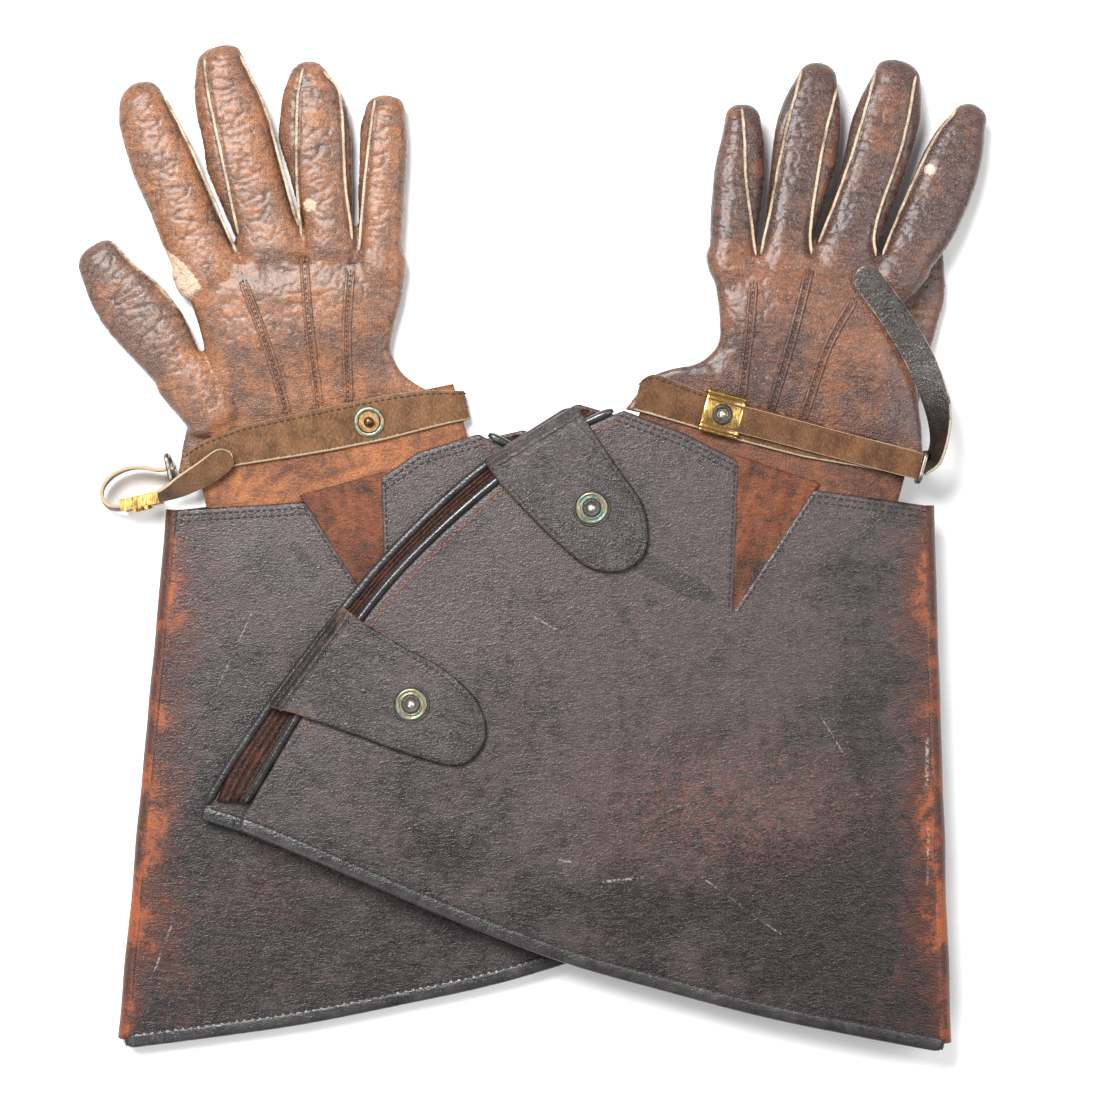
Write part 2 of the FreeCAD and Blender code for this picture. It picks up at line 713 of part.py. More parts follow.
def right_slide_buckle(glove):
    start, end = (V(*p[:3]) for p in right_slide_run(glove))
    way = unit(end - start)
    buckle = slide_plate(SLIDE_T + STRAP_T + 0.9)
    buckle.translate(V(0, 0, -(SLIDE_T + STRAP_T + 0.9) / 2))
    buckle.rotate(V(0, 0, 0), V(1, 0, 0), -90)
    buckle.rotate(V(0, 0, 0), Z_AXIS, math.degrees(math.atan2(way.y, way.x)))
    buckle.translate((start + end) / 2)
    return buckle


# ---- The pair -------------------------------------------------------------------------------

def place(glove, shape):
    """From a glove's own frame to the pair's."""
    shape.rotate(V(0, 0, 0), Z_AXIS, glove["turn"])
    if glove["mirror"]:
        shape = shape.mirror(V(0, 0, 0), V(1, 0, 0))
    shape.translate(V(*glove["origin"], glove["lift"]))
    return shape


SHARED = [
    cuff_front_panel, cuff_back_panel, side_strip, hem_binding, opening_piping, bellows_gusset,
    wrist_gusset, wrist_sleeve, tab_roots, upper_tab, lower_tab, upper_tab_socket,
    lower_tab_socket, press_studs, wrist_band, keeper_ring, hand_back, hand_palm,
]
FINGERS = ("index", "middle", "ring", "little")


def glove_pieces(glove):
    pieces = {maker.__name__: maker(glove) for maker in SHARED}
    pieces["thumb"] = stall(glove, "thumb")
    for finger in FINGERS:
        pieces[finger + "_stall"] = stall(glove, finger)
        pieces[finger + "_fourchette"] = fourchette(glove, finger)
    if glove["mirror"]:
        pieces["strap"] = right_strap(glove)
        pieces["slide_buckle"] = right_slide_buckle(glove)
    else:
        pieces["strap"] = left_strap(glove)
        pieces["strap_tail"] = left_strap_tail(glove)
        pieces["slide_buckle"] = left_slide_buckle(glove)
    return pieces


def main():
    os.makedirs("parts", exist_ok=True)
    for glove in (LEFT, RIGHT):
        for name, shape in glove_pieces(glove).items():
            place(glove, shape).exportStep("parts/" + glove["name"] + "_" + name + ".step")


if __name__ == "__main__":
    main()
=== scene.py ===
import json
import math

import bmesh
import bpy
import numpy as np
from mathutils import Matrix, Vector
from mathutils.bvhtree import BVHTree
from mathutils.geometry import delaunay_2d_cdt
from mathutils.kdtree import KDTree


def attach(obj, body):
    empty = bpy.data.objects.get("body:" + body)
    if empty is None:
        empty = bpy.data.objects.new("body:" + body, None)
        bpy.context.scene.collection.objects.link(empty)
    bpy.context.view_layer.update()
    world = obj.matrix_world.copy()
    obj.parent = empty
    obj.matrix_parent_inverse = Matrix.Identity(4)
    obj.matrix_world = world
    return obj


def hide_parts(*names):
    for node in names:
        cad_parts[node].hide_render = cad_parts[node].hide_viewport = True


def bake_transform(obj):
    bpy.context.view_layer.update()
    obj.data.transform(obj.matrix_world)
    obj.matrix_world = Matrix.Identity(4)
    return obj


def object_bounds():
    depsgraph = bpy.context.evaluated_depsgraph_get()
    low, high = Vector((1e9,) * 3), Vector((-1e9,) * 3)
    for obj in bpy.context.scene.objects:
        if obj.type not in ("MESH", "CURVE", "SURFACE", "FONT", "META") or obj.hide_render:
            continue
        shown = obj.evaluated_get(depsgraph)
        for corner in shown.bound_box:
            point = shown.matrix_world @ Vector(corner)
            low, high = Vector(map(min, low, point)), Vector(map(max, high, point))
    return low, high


# A pair of used leather gauntlet gloves, backs up, the left-hand one lying across the right-hand one.
# Shapes are worked out in millimetres in each glove's own frame: +x to the thumb, +y to the fingers,
# the origin in the middle of the mouth of the wrist gusset. Glove.world() turns that into metres.

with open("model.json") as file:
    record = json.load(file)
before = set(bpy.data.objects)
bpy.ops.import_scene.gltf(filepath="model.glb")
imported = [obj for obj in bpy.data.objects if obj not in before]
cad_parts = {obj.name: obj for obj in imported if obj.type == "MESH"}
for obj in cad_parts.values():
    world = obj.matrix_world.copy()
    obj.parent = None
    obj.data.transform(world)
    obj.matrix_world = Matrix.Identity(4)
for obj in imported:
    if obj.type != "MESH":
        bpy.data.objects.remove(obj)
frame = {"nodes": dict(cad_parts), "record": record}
cad_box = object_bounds()

MM = 0.001
JOINTS = {joint["name"]: joint for joint in frame["record"]["behaviour"]["joints"]}
UP = np.array([0.0, 0.0, 1.0])
RNG = np.random.default_rng(7)

# ---- Driving dimensions, millimetres -----------------------------------------------------------

BACK_TOP = 2.2
FRONT_LOW, FRONT_TOP = 9.0, 11.2
CUFF_MID = 5.6
WRIST_SLOPE = math.radians(-15.5)
HAND_Z = 8.2
TAB_LOW, TAB_TOP = 12.6, 14.6
STRAP_Z = 12.6
SLIDE_LONG = 18.4
SLIDE_WIDE = 19.6
SLIDE_THICK = 1.2
FOLD_TOP, FOLD_HEM = (68.0, -14.0), (76.0, -264.0)
HEM = [(38, -256.8), (-5, -248), (-50, -236.3), (-95, -223.5), (-140, -206.8), (-180, -190), (-222, -172)]
HEM_BACK_END, HEM_FRONT_END = (-265.4, -158.0), (-247.0, -162.0)
OPENING_FRONT = [(-70, 29.5), (-95, 17.5), (-124, -2), (-153, -27), (-178, -53), (-200, -83), (-222, -119)]
OPENING_BACK = [(-91, 33), (-136, 3), (-172, -30), (-198, -60), (-216, -83), (-233, -106), (-252, -134)]
TOP_EDGE_BACK = [(20, -5), (-15, 7), (-55, 22)]
GUSSET_TIP_Y, GUSSET_HALF = -62.5, 17.0

TABS = {
    "upper": {
        "fold": ((-135, 6), (-91, 33)),
        "outline": [(25, 12), (26, 36), (27, 54), (22, 68), (14, 76), (2, 76), (-9, 67), (-15, 51),
                    (-20, 32), (-24, 12)],
        "snap": (6.2, 44.5),
    },
    "lower": {
        "fold": ((-233, -106), (-198, -59)),
        "outline": [(28, 12), (30, 32), (33, 54), (31, 74), (22, 87), (10, 90), (0, 84), (-9, 61),
                    (-15, 41), (-24, 12)],
        "snap": (11.2, 52.3),
    },
}

# Fingers, in each finger's own frame (along it from the knuckle, across it towards the thumb):
# length, edge on the thumb side, edge on the other side, seam on each side of the back.
FINGERS = {
    "right_index": (91.6,
        [(-39, 14.3), (-12, 15.7), (19, 17.6), (33, 17.5), (48, 18.7), (63, 18.1), (77, 16.7), (90, 10.6)],
        [(1, -16), (24, -13.9), (44, -13), (51, -14.6), (66, -13), (74, -11.6), (84, -9.4)],
        None, [(1, -15), (15, -14.6), (38, -13.4), (59, -11.6), (79, -9.4)]),
    "right_middle": (93.9,
        [(-1, 15), (21, 18.2), (41, 20.6), (48, 19.1), (62, 18.9), (76, 17), (88, 11.6)],
        [(4, -16), (33, -14.7), (57, -16.9), (74, -14.5), (84, -12.2)],
        [(6, 12.9), (40, 10.6), (73, 8.6), (89, 6.1)],
        [(3, -14.8), (28, -14.9), (47, -15), (64, -14), (86, -10)]),
    "right_ring": (83.1,
        [(8, 11.8), (23, 14.3), (38, 17), (49, 19.2), (61, 16.5), (70, 15), (78, 9.5)],
        [(-4, -12.7), (15, -14.5), (45, -17.4), (59, -17.1), (66, -15.6), (78, -8.6)],
        [(2, 11.8), (28, 11), (64, 6.4), (79, 2.2)], [(-2, -11.4), (25, -11.2), (64, -13.2), (77, -7)]),
    "right_little": (77.0,
        [(7, 12), (27, 13), (56, 12.8), (63, 13), (71, 9.9)],
        [(-19, -10.2), (0, -10.2), (29, -10.8), (57, -12), (71, -9.8)],
        [(4, 10.6), (40, 8.3), (74, 4.9)], None),
    "right_thumb": (75.4,
        [(-17, 12), (6, 14.3), (33, 18.6), (44, 19), (55, 17.8), (69, 13.3)],
        [(0, -13.1), (22, -18.3), (40, -18.5), (48, -16.5), (55, -13.5), (68, -12)],
        None, None),
    "left_index": (84.7,
        [(-6, 7.5), (10, 13.1), (22, 15.5), (37, 16.5), (50, 16.2), (66, 13.4), (78, 9.2)],
        [(1, -14.1), (34, -14.6), (54, -14.6), (70, -12.4), (79, -8.3)],
        None, [(2, -12.6), (27, -12.8), (60, -11.4), (78, -7)]),
    "left_middle": (95.4,
        [(3, 14.5), (24, 16.4), (48, 18.7), (70, 19), (83, 16.2), (90, 13)],
        [(0, -15.2), (25, -14), (40, -13.2), (61, -14.7), (75, -13.1), (88, -9.8)],
        [(3, 13.4), (17, 9.6), (56, 11.8), (89, 9.8)], [(2, -13.4), (8, -12.6), (43, -9.4), (86, -8.4)]),
    "left_ring": (91.9,
        [(6, 12.1), (31, 16.1), (45, 18.5), (59, 18.6), (73, 16.4), (86, 12)],
        [(-5, -12.2), (24, -13.1), (54, -14.6), (61, -14.8), (75, -11.9), (86, -7)],
        [(2, 11.6), (16, 9.2), (51, 9.2), (80, 11.6)], [(-2, -11.4), (15, -10.3), (52, -8.8), (86, -5.6)]),
    "left_little": (73.2,
        [(0, 12.3), (29, 14), (42, 14.4), (58, 13.3), (67, 10.5)],
        [(-14, -5.7), (1, -10.9), (22, -11.9), (43, -11.4), (64, -7.8)],
        [(2, 11.2), (19, 7.7), (37, 4.2), (55, 2.5), (70, 0.5)], None),
    "left_thumb": (76.3,
        [(-19, 14), (25, 16.2), (47, 18.3), (54, 18.4), (67, 14.8)],
        [(-19, -14), (30, -15), (54, -14), (67, -11)],
        None, None),
}

# Hand, glove frame: the two side edges from the wrist to the outer fingers' roots, and the stitched points.
HANDS = {
    "left": {
        "thumb_edge": [(68.5, 4), (67.2, 22), (64.4, 43.7), (57.6, 66.7), (61, 84), (68, 96)],
        "little_edge": [(-70, 30), (-56, 46), (-38, 51), (-30, 56), (-25.8, 64), (-27.4, 85.1), (-31, 101)],
        "points": [[(-10.6, 87.4), (-12.4, 66.7), (-16.1, 35.4)], [(15.2, 93.4), (6.9, 62.1), (-2.3, 30.2)],
                   [(35.4, 79.6), (23, 57.5), (12.4, 26)]],
        "wrist": (3.34, 31.55),
        "band_top": [(-69, 37), (-57.5, 47.4), (-34.5, 38.2), (-12.9, 30.6), (11.5, 23.6), (59.8, 12.4)],
        "band_low": [(-66, 30), (-40, 22.5), (-18.4, 16), (11.5, 8.2), (65.8, -1)],
        "ring": (66.5, 3.5), "slide": (-24.8, 27.5), "gusset": (0.0, -19.8),
    },
    "right": {
        "thumb_edge": [(69, 2), (66, 24), (61, 43.9), (58.6, 57), (66, 80), (76, 100)],
        "little_edge": [(-67, 42), (-52, 46.5), (-37, 53), (-29, 62), (-27, 70), (-31, 90), (-32, 106)],
        "points": [[(42.6, 93.3), (28.8, 61.9), (19.2, 34)], [(15.3, 106.5), (11.2, 76.7), (4.7, 38)],
                   [(-6.7, 100.9), (-6.5, 73.2), (-9, 41)]],
        "wrist": (3.34, 38.55),
        "band_top": [(67.3, 11.2), (57.6, 18.7), (39.6, 26.7), (-5.9, 39.4), (-23.9, 44.3), (-44.4, 48.4),
                     (-62, 49)],
        "band_low": [(64, -3), (44.1, 7.4), (2.2, 16.4), (-25, 23.5), (-54.3, 33)],
        "ring": (71.5, 4.5), "slide": (-19.1, 32.0), "gusset": (-9.0, -32.5),
    },
}


# ---- Number helpers ----------------------------------------------------------------------------

def smoothstep(low, high, value):
    t = np.clip((value - low) / (high - low), 0, 1)
    return t * t * (3 - 2 * t)


def unit(vector):
    return vector / np.linalg.norm(vector)


PERMUTATION = np.random.default_rng(3).permutation(256)
GRADIENTS = np.random.default_rng(5).normal(size=(256, 3))
GRADIENTS /= np.linalg.norm(GRADIENTS, axis=1)[:, None]


def noise(points):
    """Smooth 3-D gradient noise, about -0.7 to 0.7, for an array of points."""
    cell = np.floor(points).astype(int)
    part = points - cell
    fade = part ** 3 * (part * (part * 6 - 15) + 10)
    total = np.zeros(len(points))
    for dx in (0, 1):
        for dy in (0, 1):
            for dz in (0, 1):
                corner = (cell + (dx, dy, dz)) & 255
                index = PERMUTATION[(PERMUTATION[(PERMUTATION[corner[:, 0]] + corner[:, 1]) & 255]
                                     + corner[:, 2]) & 255]
                away = part - (dx, dy, dz)
                weight = (np.where(dx, fade[:, 0], 1 - fade[:, 0])
                          * np.where(dy, fade[:, 1], 1 - fade[:, 1])
                          * np.where(dz, fade[:, 2], 1 - fade[:, 2]))
                total += weight * np.einsum("ij,ij->i", GRADIENTS[index], away)
    return total


def creases(points, width=0.16):
    """1 on thin wandering lines where the noise crosses zero, 0 between them."""
    return np.clip(1 - np.abs(noise(points)) / width, 0, 1) ** 2


def curve(points, step=2.0):
    """A smooth curve through the points, as rows about a step apart."""
    points = np.array(points, float)
    padded = np.vstack([2 * points[0] - points[1], points, 2 * points[-1] - points[-2]])
    rows = []
    for i in range(1, len(padded) - 2):
        p0, p1, p2, p3 = padded[i - 1:i + 3]
        count = max(2, int(np.linalg.norm(p2 - p1) / step))
        for t in np.linspace(0, 1, count, endpoint=False):
            rows.append(0.5 * (2 * p1 + (p2 - p0) * t + (2 * p0 - 5 * p1 + 4 * p2 - p3) * t ** 2
                               + (3 * p1 - p0 - 3 * p2 + p3) * t ** 3))
    rows.append(points[-1])
    return np.array(rows)


def resample(points, step, closed=False):
    """Evenly spaced rows along a line."""
    points = np.array(points, float)
    if closed:
        points = np.vstack([points, points[:1]])
    lengths = np.concatenate([[0], np.cumsum(np.linalg.norm(np.diff(points, axis=0), axis=1))])
    count = max(2, int(round(lengths[-1] / step)))
    at = np.linspace(0, lengths[-1], count + 1)
    rows = np.column_stack([np.interp(at, lengths, points[:, k]) for k in range(points.shape[1])])
    return rows[:-1] if closed else rows


def offset(points, distance):
    """A flat line moved to the left of its own direction of travel."""
    points = np.array(points, float)
    way = np.gradient(points, axis=0)
    way /= np.linalg.norm(way, axis=1)[:, None]
    return points + np.column_stack([-way[:, 1], way[:, 0]]) * distance


def superellipse(angle, power):
    c, s = np.cos(angle), np.sin(angle)
    return np.sign(c) * np.abs(c) ** (2 / power), np.sign(s) * np.abs(s) ** (2 / power)


# ---- Glove frames ------------------------------------------------------------------------------

class Glove:
    def __init__(self, name):
        self.name = name
        self.shape = HANDS[name]
        side = -1.0 if name == "right" else 1.0
        wrist = JOINTS[name + "_wrist"]
        self.pivot = np.array(wrist["pos_m"]) / MM
        self.reach = unit(np.cross(wrist["axis"], UP))
        self.along = side * np.cross(self.reach, UP)
        axes = [np.array(JOINTS[name + "_" + finger + "_bend"]["axis"]) for finger in ("index", "little")]
        self.hand_up = unit(np.cross(*axes))
        self.hand_up *= np.sign(self.hand_up[2])
        self.hand_reach = unit(self.reach - self.hand_up * (self.reach @ self.hand_up))
        self.digits = {key.split("_", 1)[1]: Digit(self, key) for key in FINGERS if key.startswith(name)}

    def wrist_uv(self, x, y):
        """Distances along the wrist line and past it."""
        c, s = math.cos(WRIST_SLOPE), math.sin(WRIST_SLOPE)
        dx, dy = x - self.shape["wrist"][0], y - self.shape["wrist"][1]
        return dx * c + dy * s, -dx * s + dy * c

    def world(self, points, hand=False):
        """Glove-frame millimetres to metres; hand points past the wrist lean with the hand."""
        points = np.atleast_2d(np.array(points, float))
        u, v = self.wrist_uv(points[:, 0], points[:, 1])
        h = points[:, 2] - CUFF_MID
        leaning = (v > 0) & hand
        up = np.where(leaning[:, None], self.hand_up, UP)
        reach = np.where(leaning[:, None], self.hand_reach, self.reach)
        return (self.pivot + u[:, None] * self.along + v[:, None] * reach + h[:, None] * up) * MM


class Digit:
    def __init__(self, glove, key):
        joint = JOINTS[key + "_bend"]
        self.key = key
        self.length, self.high, self.low, self.high_seam, self.low_seam = FINGERS[key]
        self.pivot = np.array(joint["pos_m"]) / MM
        self.up = glove.hand_up
        self.way = unit(np.cross(joint["axis"], self.up))
        out = np.cross(self.way, self.up)
        self.out = out * np.sign(out @ glove.along)

    def world(self, s, w, z):
        s, w, z = (np.atleast_1d(np.asarray(value, float))[:, None] for value in (s, w, z))
        return (self.pivot + s * self.way + w * self.out + z * self.up) * MM

    def local(self, points):
        """Metres to (along, across, above) in millimetres."""
        away = points / MM - self.pivot
        return away @ self.way, away @ self.out, away @ self.up

    def edge(self, points, s):
        points = np.array(points, float)
        fine = np.arange(-60, 130, 1.0)
        values = np.interp(fine, points[:, 0], points[:, 1])
        kernel = np.exp(-(np.arange(-9, 10) / 4.5) ** 2)
        values = np.convolve(np.pad(values, 9, mode="edge"), kernel / kernel.sum(), mode="valid")
        return np.interp(s, fine, values)


# ---- Mesh helpers ------------------------------------------------------------------------------

def mesh_object(name, vertices, faces, material, smooth=True):
    mesh = bpy.data.meshes.new(name)
    mesh.from_pydata([tuple(v) for v in vertices], [], [tuple(f) for f in faces])
    mesh.update()
    piece = bpy.data.objects.new(name, mesh)
    bpy.context.collection.objects.link(piece)
    if material:
        mesh.materials.append(material)
    mesh.polygons.foreach_set("use_smooth", [smooth] * len(mesh.polygons))
    return piece


def paint(piece, **values):
    """Store one number per vertex under each name, for the material to read; a lone number goes to all."""
    for name, numbers in values.items():
        layer = piece.data.attributes.new(name, "FLOAT", "POINT")
        layer.data.foreach_set("value", np.full(len(layer.data), numbers, np.float32))


def on_plane(x, y):
    """Rows (x, y, 0)."""
    return np.column_stack([x, y, np.zeros(len(x))])


def coordinates(piece):
    out = np.empty(len(piece.data.vertices) * 3)
    piece.data.vertices.foreach_get("co", out)
    return out.reshape(-1, 3)


def normals(piece):
    out = np.empty(len(piece.data.vertices) * 3)
    piece.data.vertices.foreach_get("normal", out)
    return out.reshape(-1, 3)


def set_coordinates(piece, points):
    piece.data.vertices.foreach_set("co", points.ravel())
    piece.data.update()


def loft(rings, closed_ends=True):
    """Vertices and faces of a tube through equal rings of points."""
    rings = np.array(rings)
    count, size = rings.shape[:2]
    vertices = list(rings.reshape(-1, 3))
    faces = []
    for i in range(count - 1):
        for k in range(size):
            n = (k + 1) % size
            faces.append((i * size + k, i * size + n, (i + 1) * size + n, (i + 1) * size + k))
    if closed_ends:
        for ring, flip in ((0, True), (count - 1, False)):
            vertices.append(rings[ring].mean(axis=0))
            hub = len(vertices) - 1
            for k in range(size):
                pair = (ring * size + k, ring * size + (k + 1) % size)
                faces.append((hub, pair[1], pair[0]) if flip else (hub, pair[0], pair[1]))
    return vertices, faces


def outward(piece):
    """Turn every face to point out of its closed shell."""
    shell = bmesh.new()
    shell.from_mesh(piece.data)
    bmesh.ops.recalc_face_normals(shell, faces=shell.faces)
    shell.to_mesh(piece.data)
    shell.free()
    return piece


def merge(name, parts, material, smooth=True):
    """One object from several (vertices, faces) shells."""
    vertices, faces = [], []
    for part_vertices, part_faces in parts:
        base = len(vertices)
        vertices.extend(part_vertices)
        faces.extend(tuple(i + base for i in face) for face in part_faces)
    return outward(mesh_object(name, vertices, faces, material, smooth))


def swept(line, section, ups=None, taper=0):
    """A closed solid along a 3-D line; section is rows of (across, up); ups is one vector or a row each."""
    line = np.array(line, float)
    section = np.array(section, float)
    way = np.gradient(line, axis=0)
    way /= np.linalg.norm(way, axis=1)[:, None]
    ups = np.tile(UP, (len(line), 1)) if ups is None else np.broadcast_to(ups, line.shape)
    rings = []
    for i, (point, ahead, up) in enumerate(zip(line, way, ups)):
        across = unit(np.cross(ahead, up))
        rise = np.cross(across, ahead)
        end = min(i, len(line) - 1 - i)
        share = 1.0 if end >= taper else math.sqrt(max(0.2, 1 - (1 - end / taper) ** 2))
        rings.append([point + share * (a * across + b * rise) for a, b in section])
    return loft(rings)


def round_section(half_width, half_height, count=10, power=2.0):
    angle = np.arange(count) * 2 * math.pi / count + math.pi / count
    x, y = superellipse(angle, power)
    return np.column_stack([x * half_width, y * half_height])


def lathe(profile, centre, up, along, segments=40):
    """A solid of revolution from a closed profile of (radius, height) rows."""
    across = np.cross(up, along)
    rings = []
    for step in range(segments):
        angle = 2 * math.pi * step / segments
        out = math.cos(angle) * along + math.sin(angle) * across
        rings.append([centre + r * MM * out + h * MM * up for r, h in profile])
    size = len(profile)
    vertices = [point for ring in rings for point in ring]
    faces = []
    for i in range(segments):
        j = (i + 1) % segments
        for k in range(size):
            n = (k + 1) % size
            faces.append((i * size + k, i * size + n, j * size + n, j * size + k))
    return vertices, faces


def plate(outline, thickness, rim=1.3, spacing=3.2, edge_step=2.0):
    """A sheet with rounded edges: rows (x, y, offset from its middle), faces, distance to the edge."""
    edge = resample(outline, edge_step, closed=True)
    dense = resample(outline, 0.6, closed=True)
    tree = KDTree(len(dense))
    for i, point in enumerate(dense):
        tree.insert((point[0], point[1], 0), i)
    tree.balance()

    def distance(point):
        return tree.find((point[0], point[1], 0))[2]

    inner = []
    area = np.sum(edge[:, 0] * np.roll(edge[:, 1], -1) - np.roll(edge[:, 0], -1) * edge[:, 1])
    way = np.roll(edge, -1, axis=0) - np.roll(edge, 1, axis=0)
    way /= np.linalg.norm(way, axis=1)[:, None]
    inward = np.column_stack([-way[:, 1], way[:, 0]]) * (1 if area > 0 else -1)
    for depth in (0.3 * rim, rim, 2.2 * rim):
        for point in edge + inward * depth:
            if distance(point) > 0.93 * depth:
                inner.append(point)
    low, high = edge.min(axis=0), edge.max(axis=0)
    row = 0
    y = low[1]
    while y < high[1]:
        for x in np.arange(low[0] + (spacing / 2 if row % 2 else 0), high[0], spacing):
            point = np.array([x, y]) + RNG.uniform(-0.12, 0.12, 2) * spacing
            if distance(point) > 2.2 * rim + 0.45 * spacing:
                inner.append(point)
        y += spacing * 0.866
        row += 1
    seeds = [Vector(point) for point in edge] + [Vector(point) for point in inner]
    loop = [(i, (i + 1) % len(edge)) for i in range(len(edge))]
    flat, _, triangles, origins, _, _ = delaunay_2d_cdt(seeds, loop, [], 1, 1e-5)
    flat = np.array([tuple(v) for v in flat])
    away = np.array([distance(point) for point in flat])
    on_edge = [any(o < len(edge) for o in origin) for origin in origins]
    away[on_edge] = 0
    half = thickness / 2 * (0.4 + 0.6 * np.sqrt(1 - (1 - np.clip(away / rim, 0, 1)) ** 2))
    used = np.unique(np.array(triangles))
    place = np.full(len(flat), -1)
    place[used] = np.arange(len(used))
    triangles = place[np.array(triangles)].tolist()
    flat, away, half = flat[used], away[used], half[used]
    count = len(flat)
    rows = np.vstack([np.column_stack([flat, half]), np.column_stack([flat, -half])])
    faces = [tuple(t) for t in triangles] + [tuple(i + count for i in reversed(t)) for t in triangles]
    uses = {}
    for triangle in triangles:
        for i in range(3):
            a, b = triangle[i], triangle[(i + 1) % 3]
            uses[(a, b)] = uses.get((a, b), 0) + 1
    for a, b in uses:
        if (b, a) not in uses:
            faces.append((b, a, a + count, b + count))
    return rows, faces, np.concatenate([away, away])


# ---- Materials ---------------------------------------------------------------------------------

class Shader:
    def __init__(self, name):
        self.material = bpy.data.materials.new(name)
        self.material.use_nodes = True
        self.tree = self.material.node_tree
        self.tree.nodes.clear()
        place = self.add("ShaderNodeTexCoord").outputs["Object"]
        scale = self.add("ShaderNodeVectorMath", {0: place}, operation="SCALE")
        scale.inputs["Scale"].default_value = 1 / MM
        self.place = scale.outputs[0]

    def add(self, kind, inputs=None, **settings):
        node = self.tree.nodes.new(kind)
        for key, value in settings.items():
            setattr(node, key, value)
        for key, value in (inputs or {}).items():
            if isinstance(value, bpy.types.NodeSocket):
                self.tree.links.new(value, node.inputs[key])
            else:
                node.inputs[key].default_value = value
        return node

    def noise(self, size, detail=4.0, stretch=(1, 1, 1), turn=0.0, distortion=0.0):
        """Cloudy pattern with features about size millimetres across."""
        mapping = self.add("ShaderNodeMapping", {0: self.place, "Scale": stretch, "Rotation": (0, 0, turn)})
        node = self.add("ShaderNodeTexNoise", {"Vector": mapping.outputs[0], "Scale": 1 / size,
                                               "Detail": detail, "Distortion": distortion})
        return node.outputs["Fac"]

    def pores(self, size):
        node = self.add("ShaderNodeTexVoronoi", {"Vector": self.place, "Scale": 1 / size})
        return node.outputs["Distance"]

    def math(self, operation, a, b=0.0, clamp=False):
        node = self.add("ShaderNodeMath", {0: a, 1: b}, operation=operation)
        node.use_clamp = clamp
        return node.outputs[0]

    def ramp(self, value, low, high, to_low=0.0, to_high=1.0):
        node = self.add("ShaderNodeMapRange", {0: value, 1: low, 2: high, 3: to_low, 4: to_high})
        return node.outputs[0]

    def mix(self, factor, a, b, blend="MIX"):
        node = self.add("ShaderNodeMix", data_type="RGBA", blend_type=blend)
        for index, value in ((0, factor), (6, a), (7, b)):
            if isinstance(value, bpy.types.NodeSocket):
                self.tree.links.new(value, node.inputs[index])
            elif index == 0:
                node.inputs[index].default_value = value
            else:
                node.inputs[index].default_value = (*value, 1.0)
        return node.outputs[2]

    def painted(self, name):
        return self.add("ShaderNodeAttribute", attribute_name=name).outputs["Fac"]

    def bump(self, height, strength, depth, below=None):
        """Relief from a 0-to-1 height, depth in millimetres."""
        inputs = {"Height": height, "Strength": strength, "Distance": depth * MM}
        if below is not None:
            inputs["Normal"] = below
        return self.add("ShaderNodeBump", inputs).outputs[0]

    def near_line(self, start, end, width):
        """1 on a straight line between two points seen from above (millimetres), 0 beyond width."""
        start, end = np.array(start, float), np.array(end, float)
        span = end - start
        flat = self.add("ShaderNodeVectorMath", {0: self.place, 1: (1, 1, 0)}, operation="MULTIPLY")
        away = self.add("ShaderNodeVectorMath", {0: flat.outputs[0], 1: (*start, 0)}, operation="SUBTRACT")
        along = self.add("ShaderNodeVectorMath", {0: away.outputs[0], 1: (*(span / (span @ span)), 0)},
                         operation="DOT_PRODUCT")
        share = self.math("ADD", along.outputs["Value"], 0.0, clamp=True)
        foot = self.add("ShaderNodeVectorMath", {0: (*span, 0), "Scale": share}, operation="SCALE")
        gap = self.add("ShaderNodeVectorMath", {0: away.outputs[0], 1: foot.outputs[0]}, operation="DISTANCE")
        return self.ramp(gap.outputs["Value"], width, width * 0.3)

    def finish(self, colour, roughness, normal, metallic=0.0, coat=0.0, sheen=0.0, specular=0.5):
        shader = self.add("ShaderNodeBsdfPrincipled", {
            "Base Color": colour, "Roughness": roughness, "Normal": normal, "Metallic": metallic,
            "Coat Weight": coat, "Coat Roughness": 0.26, "Sheen Weight": sheen,
            "Specular IOR Level": specular})
        output = self.add("ShaderNodeOutputMaterial")
        self.tree.links.new(shader.outputs[0], output.inputs[0])
        return self.material


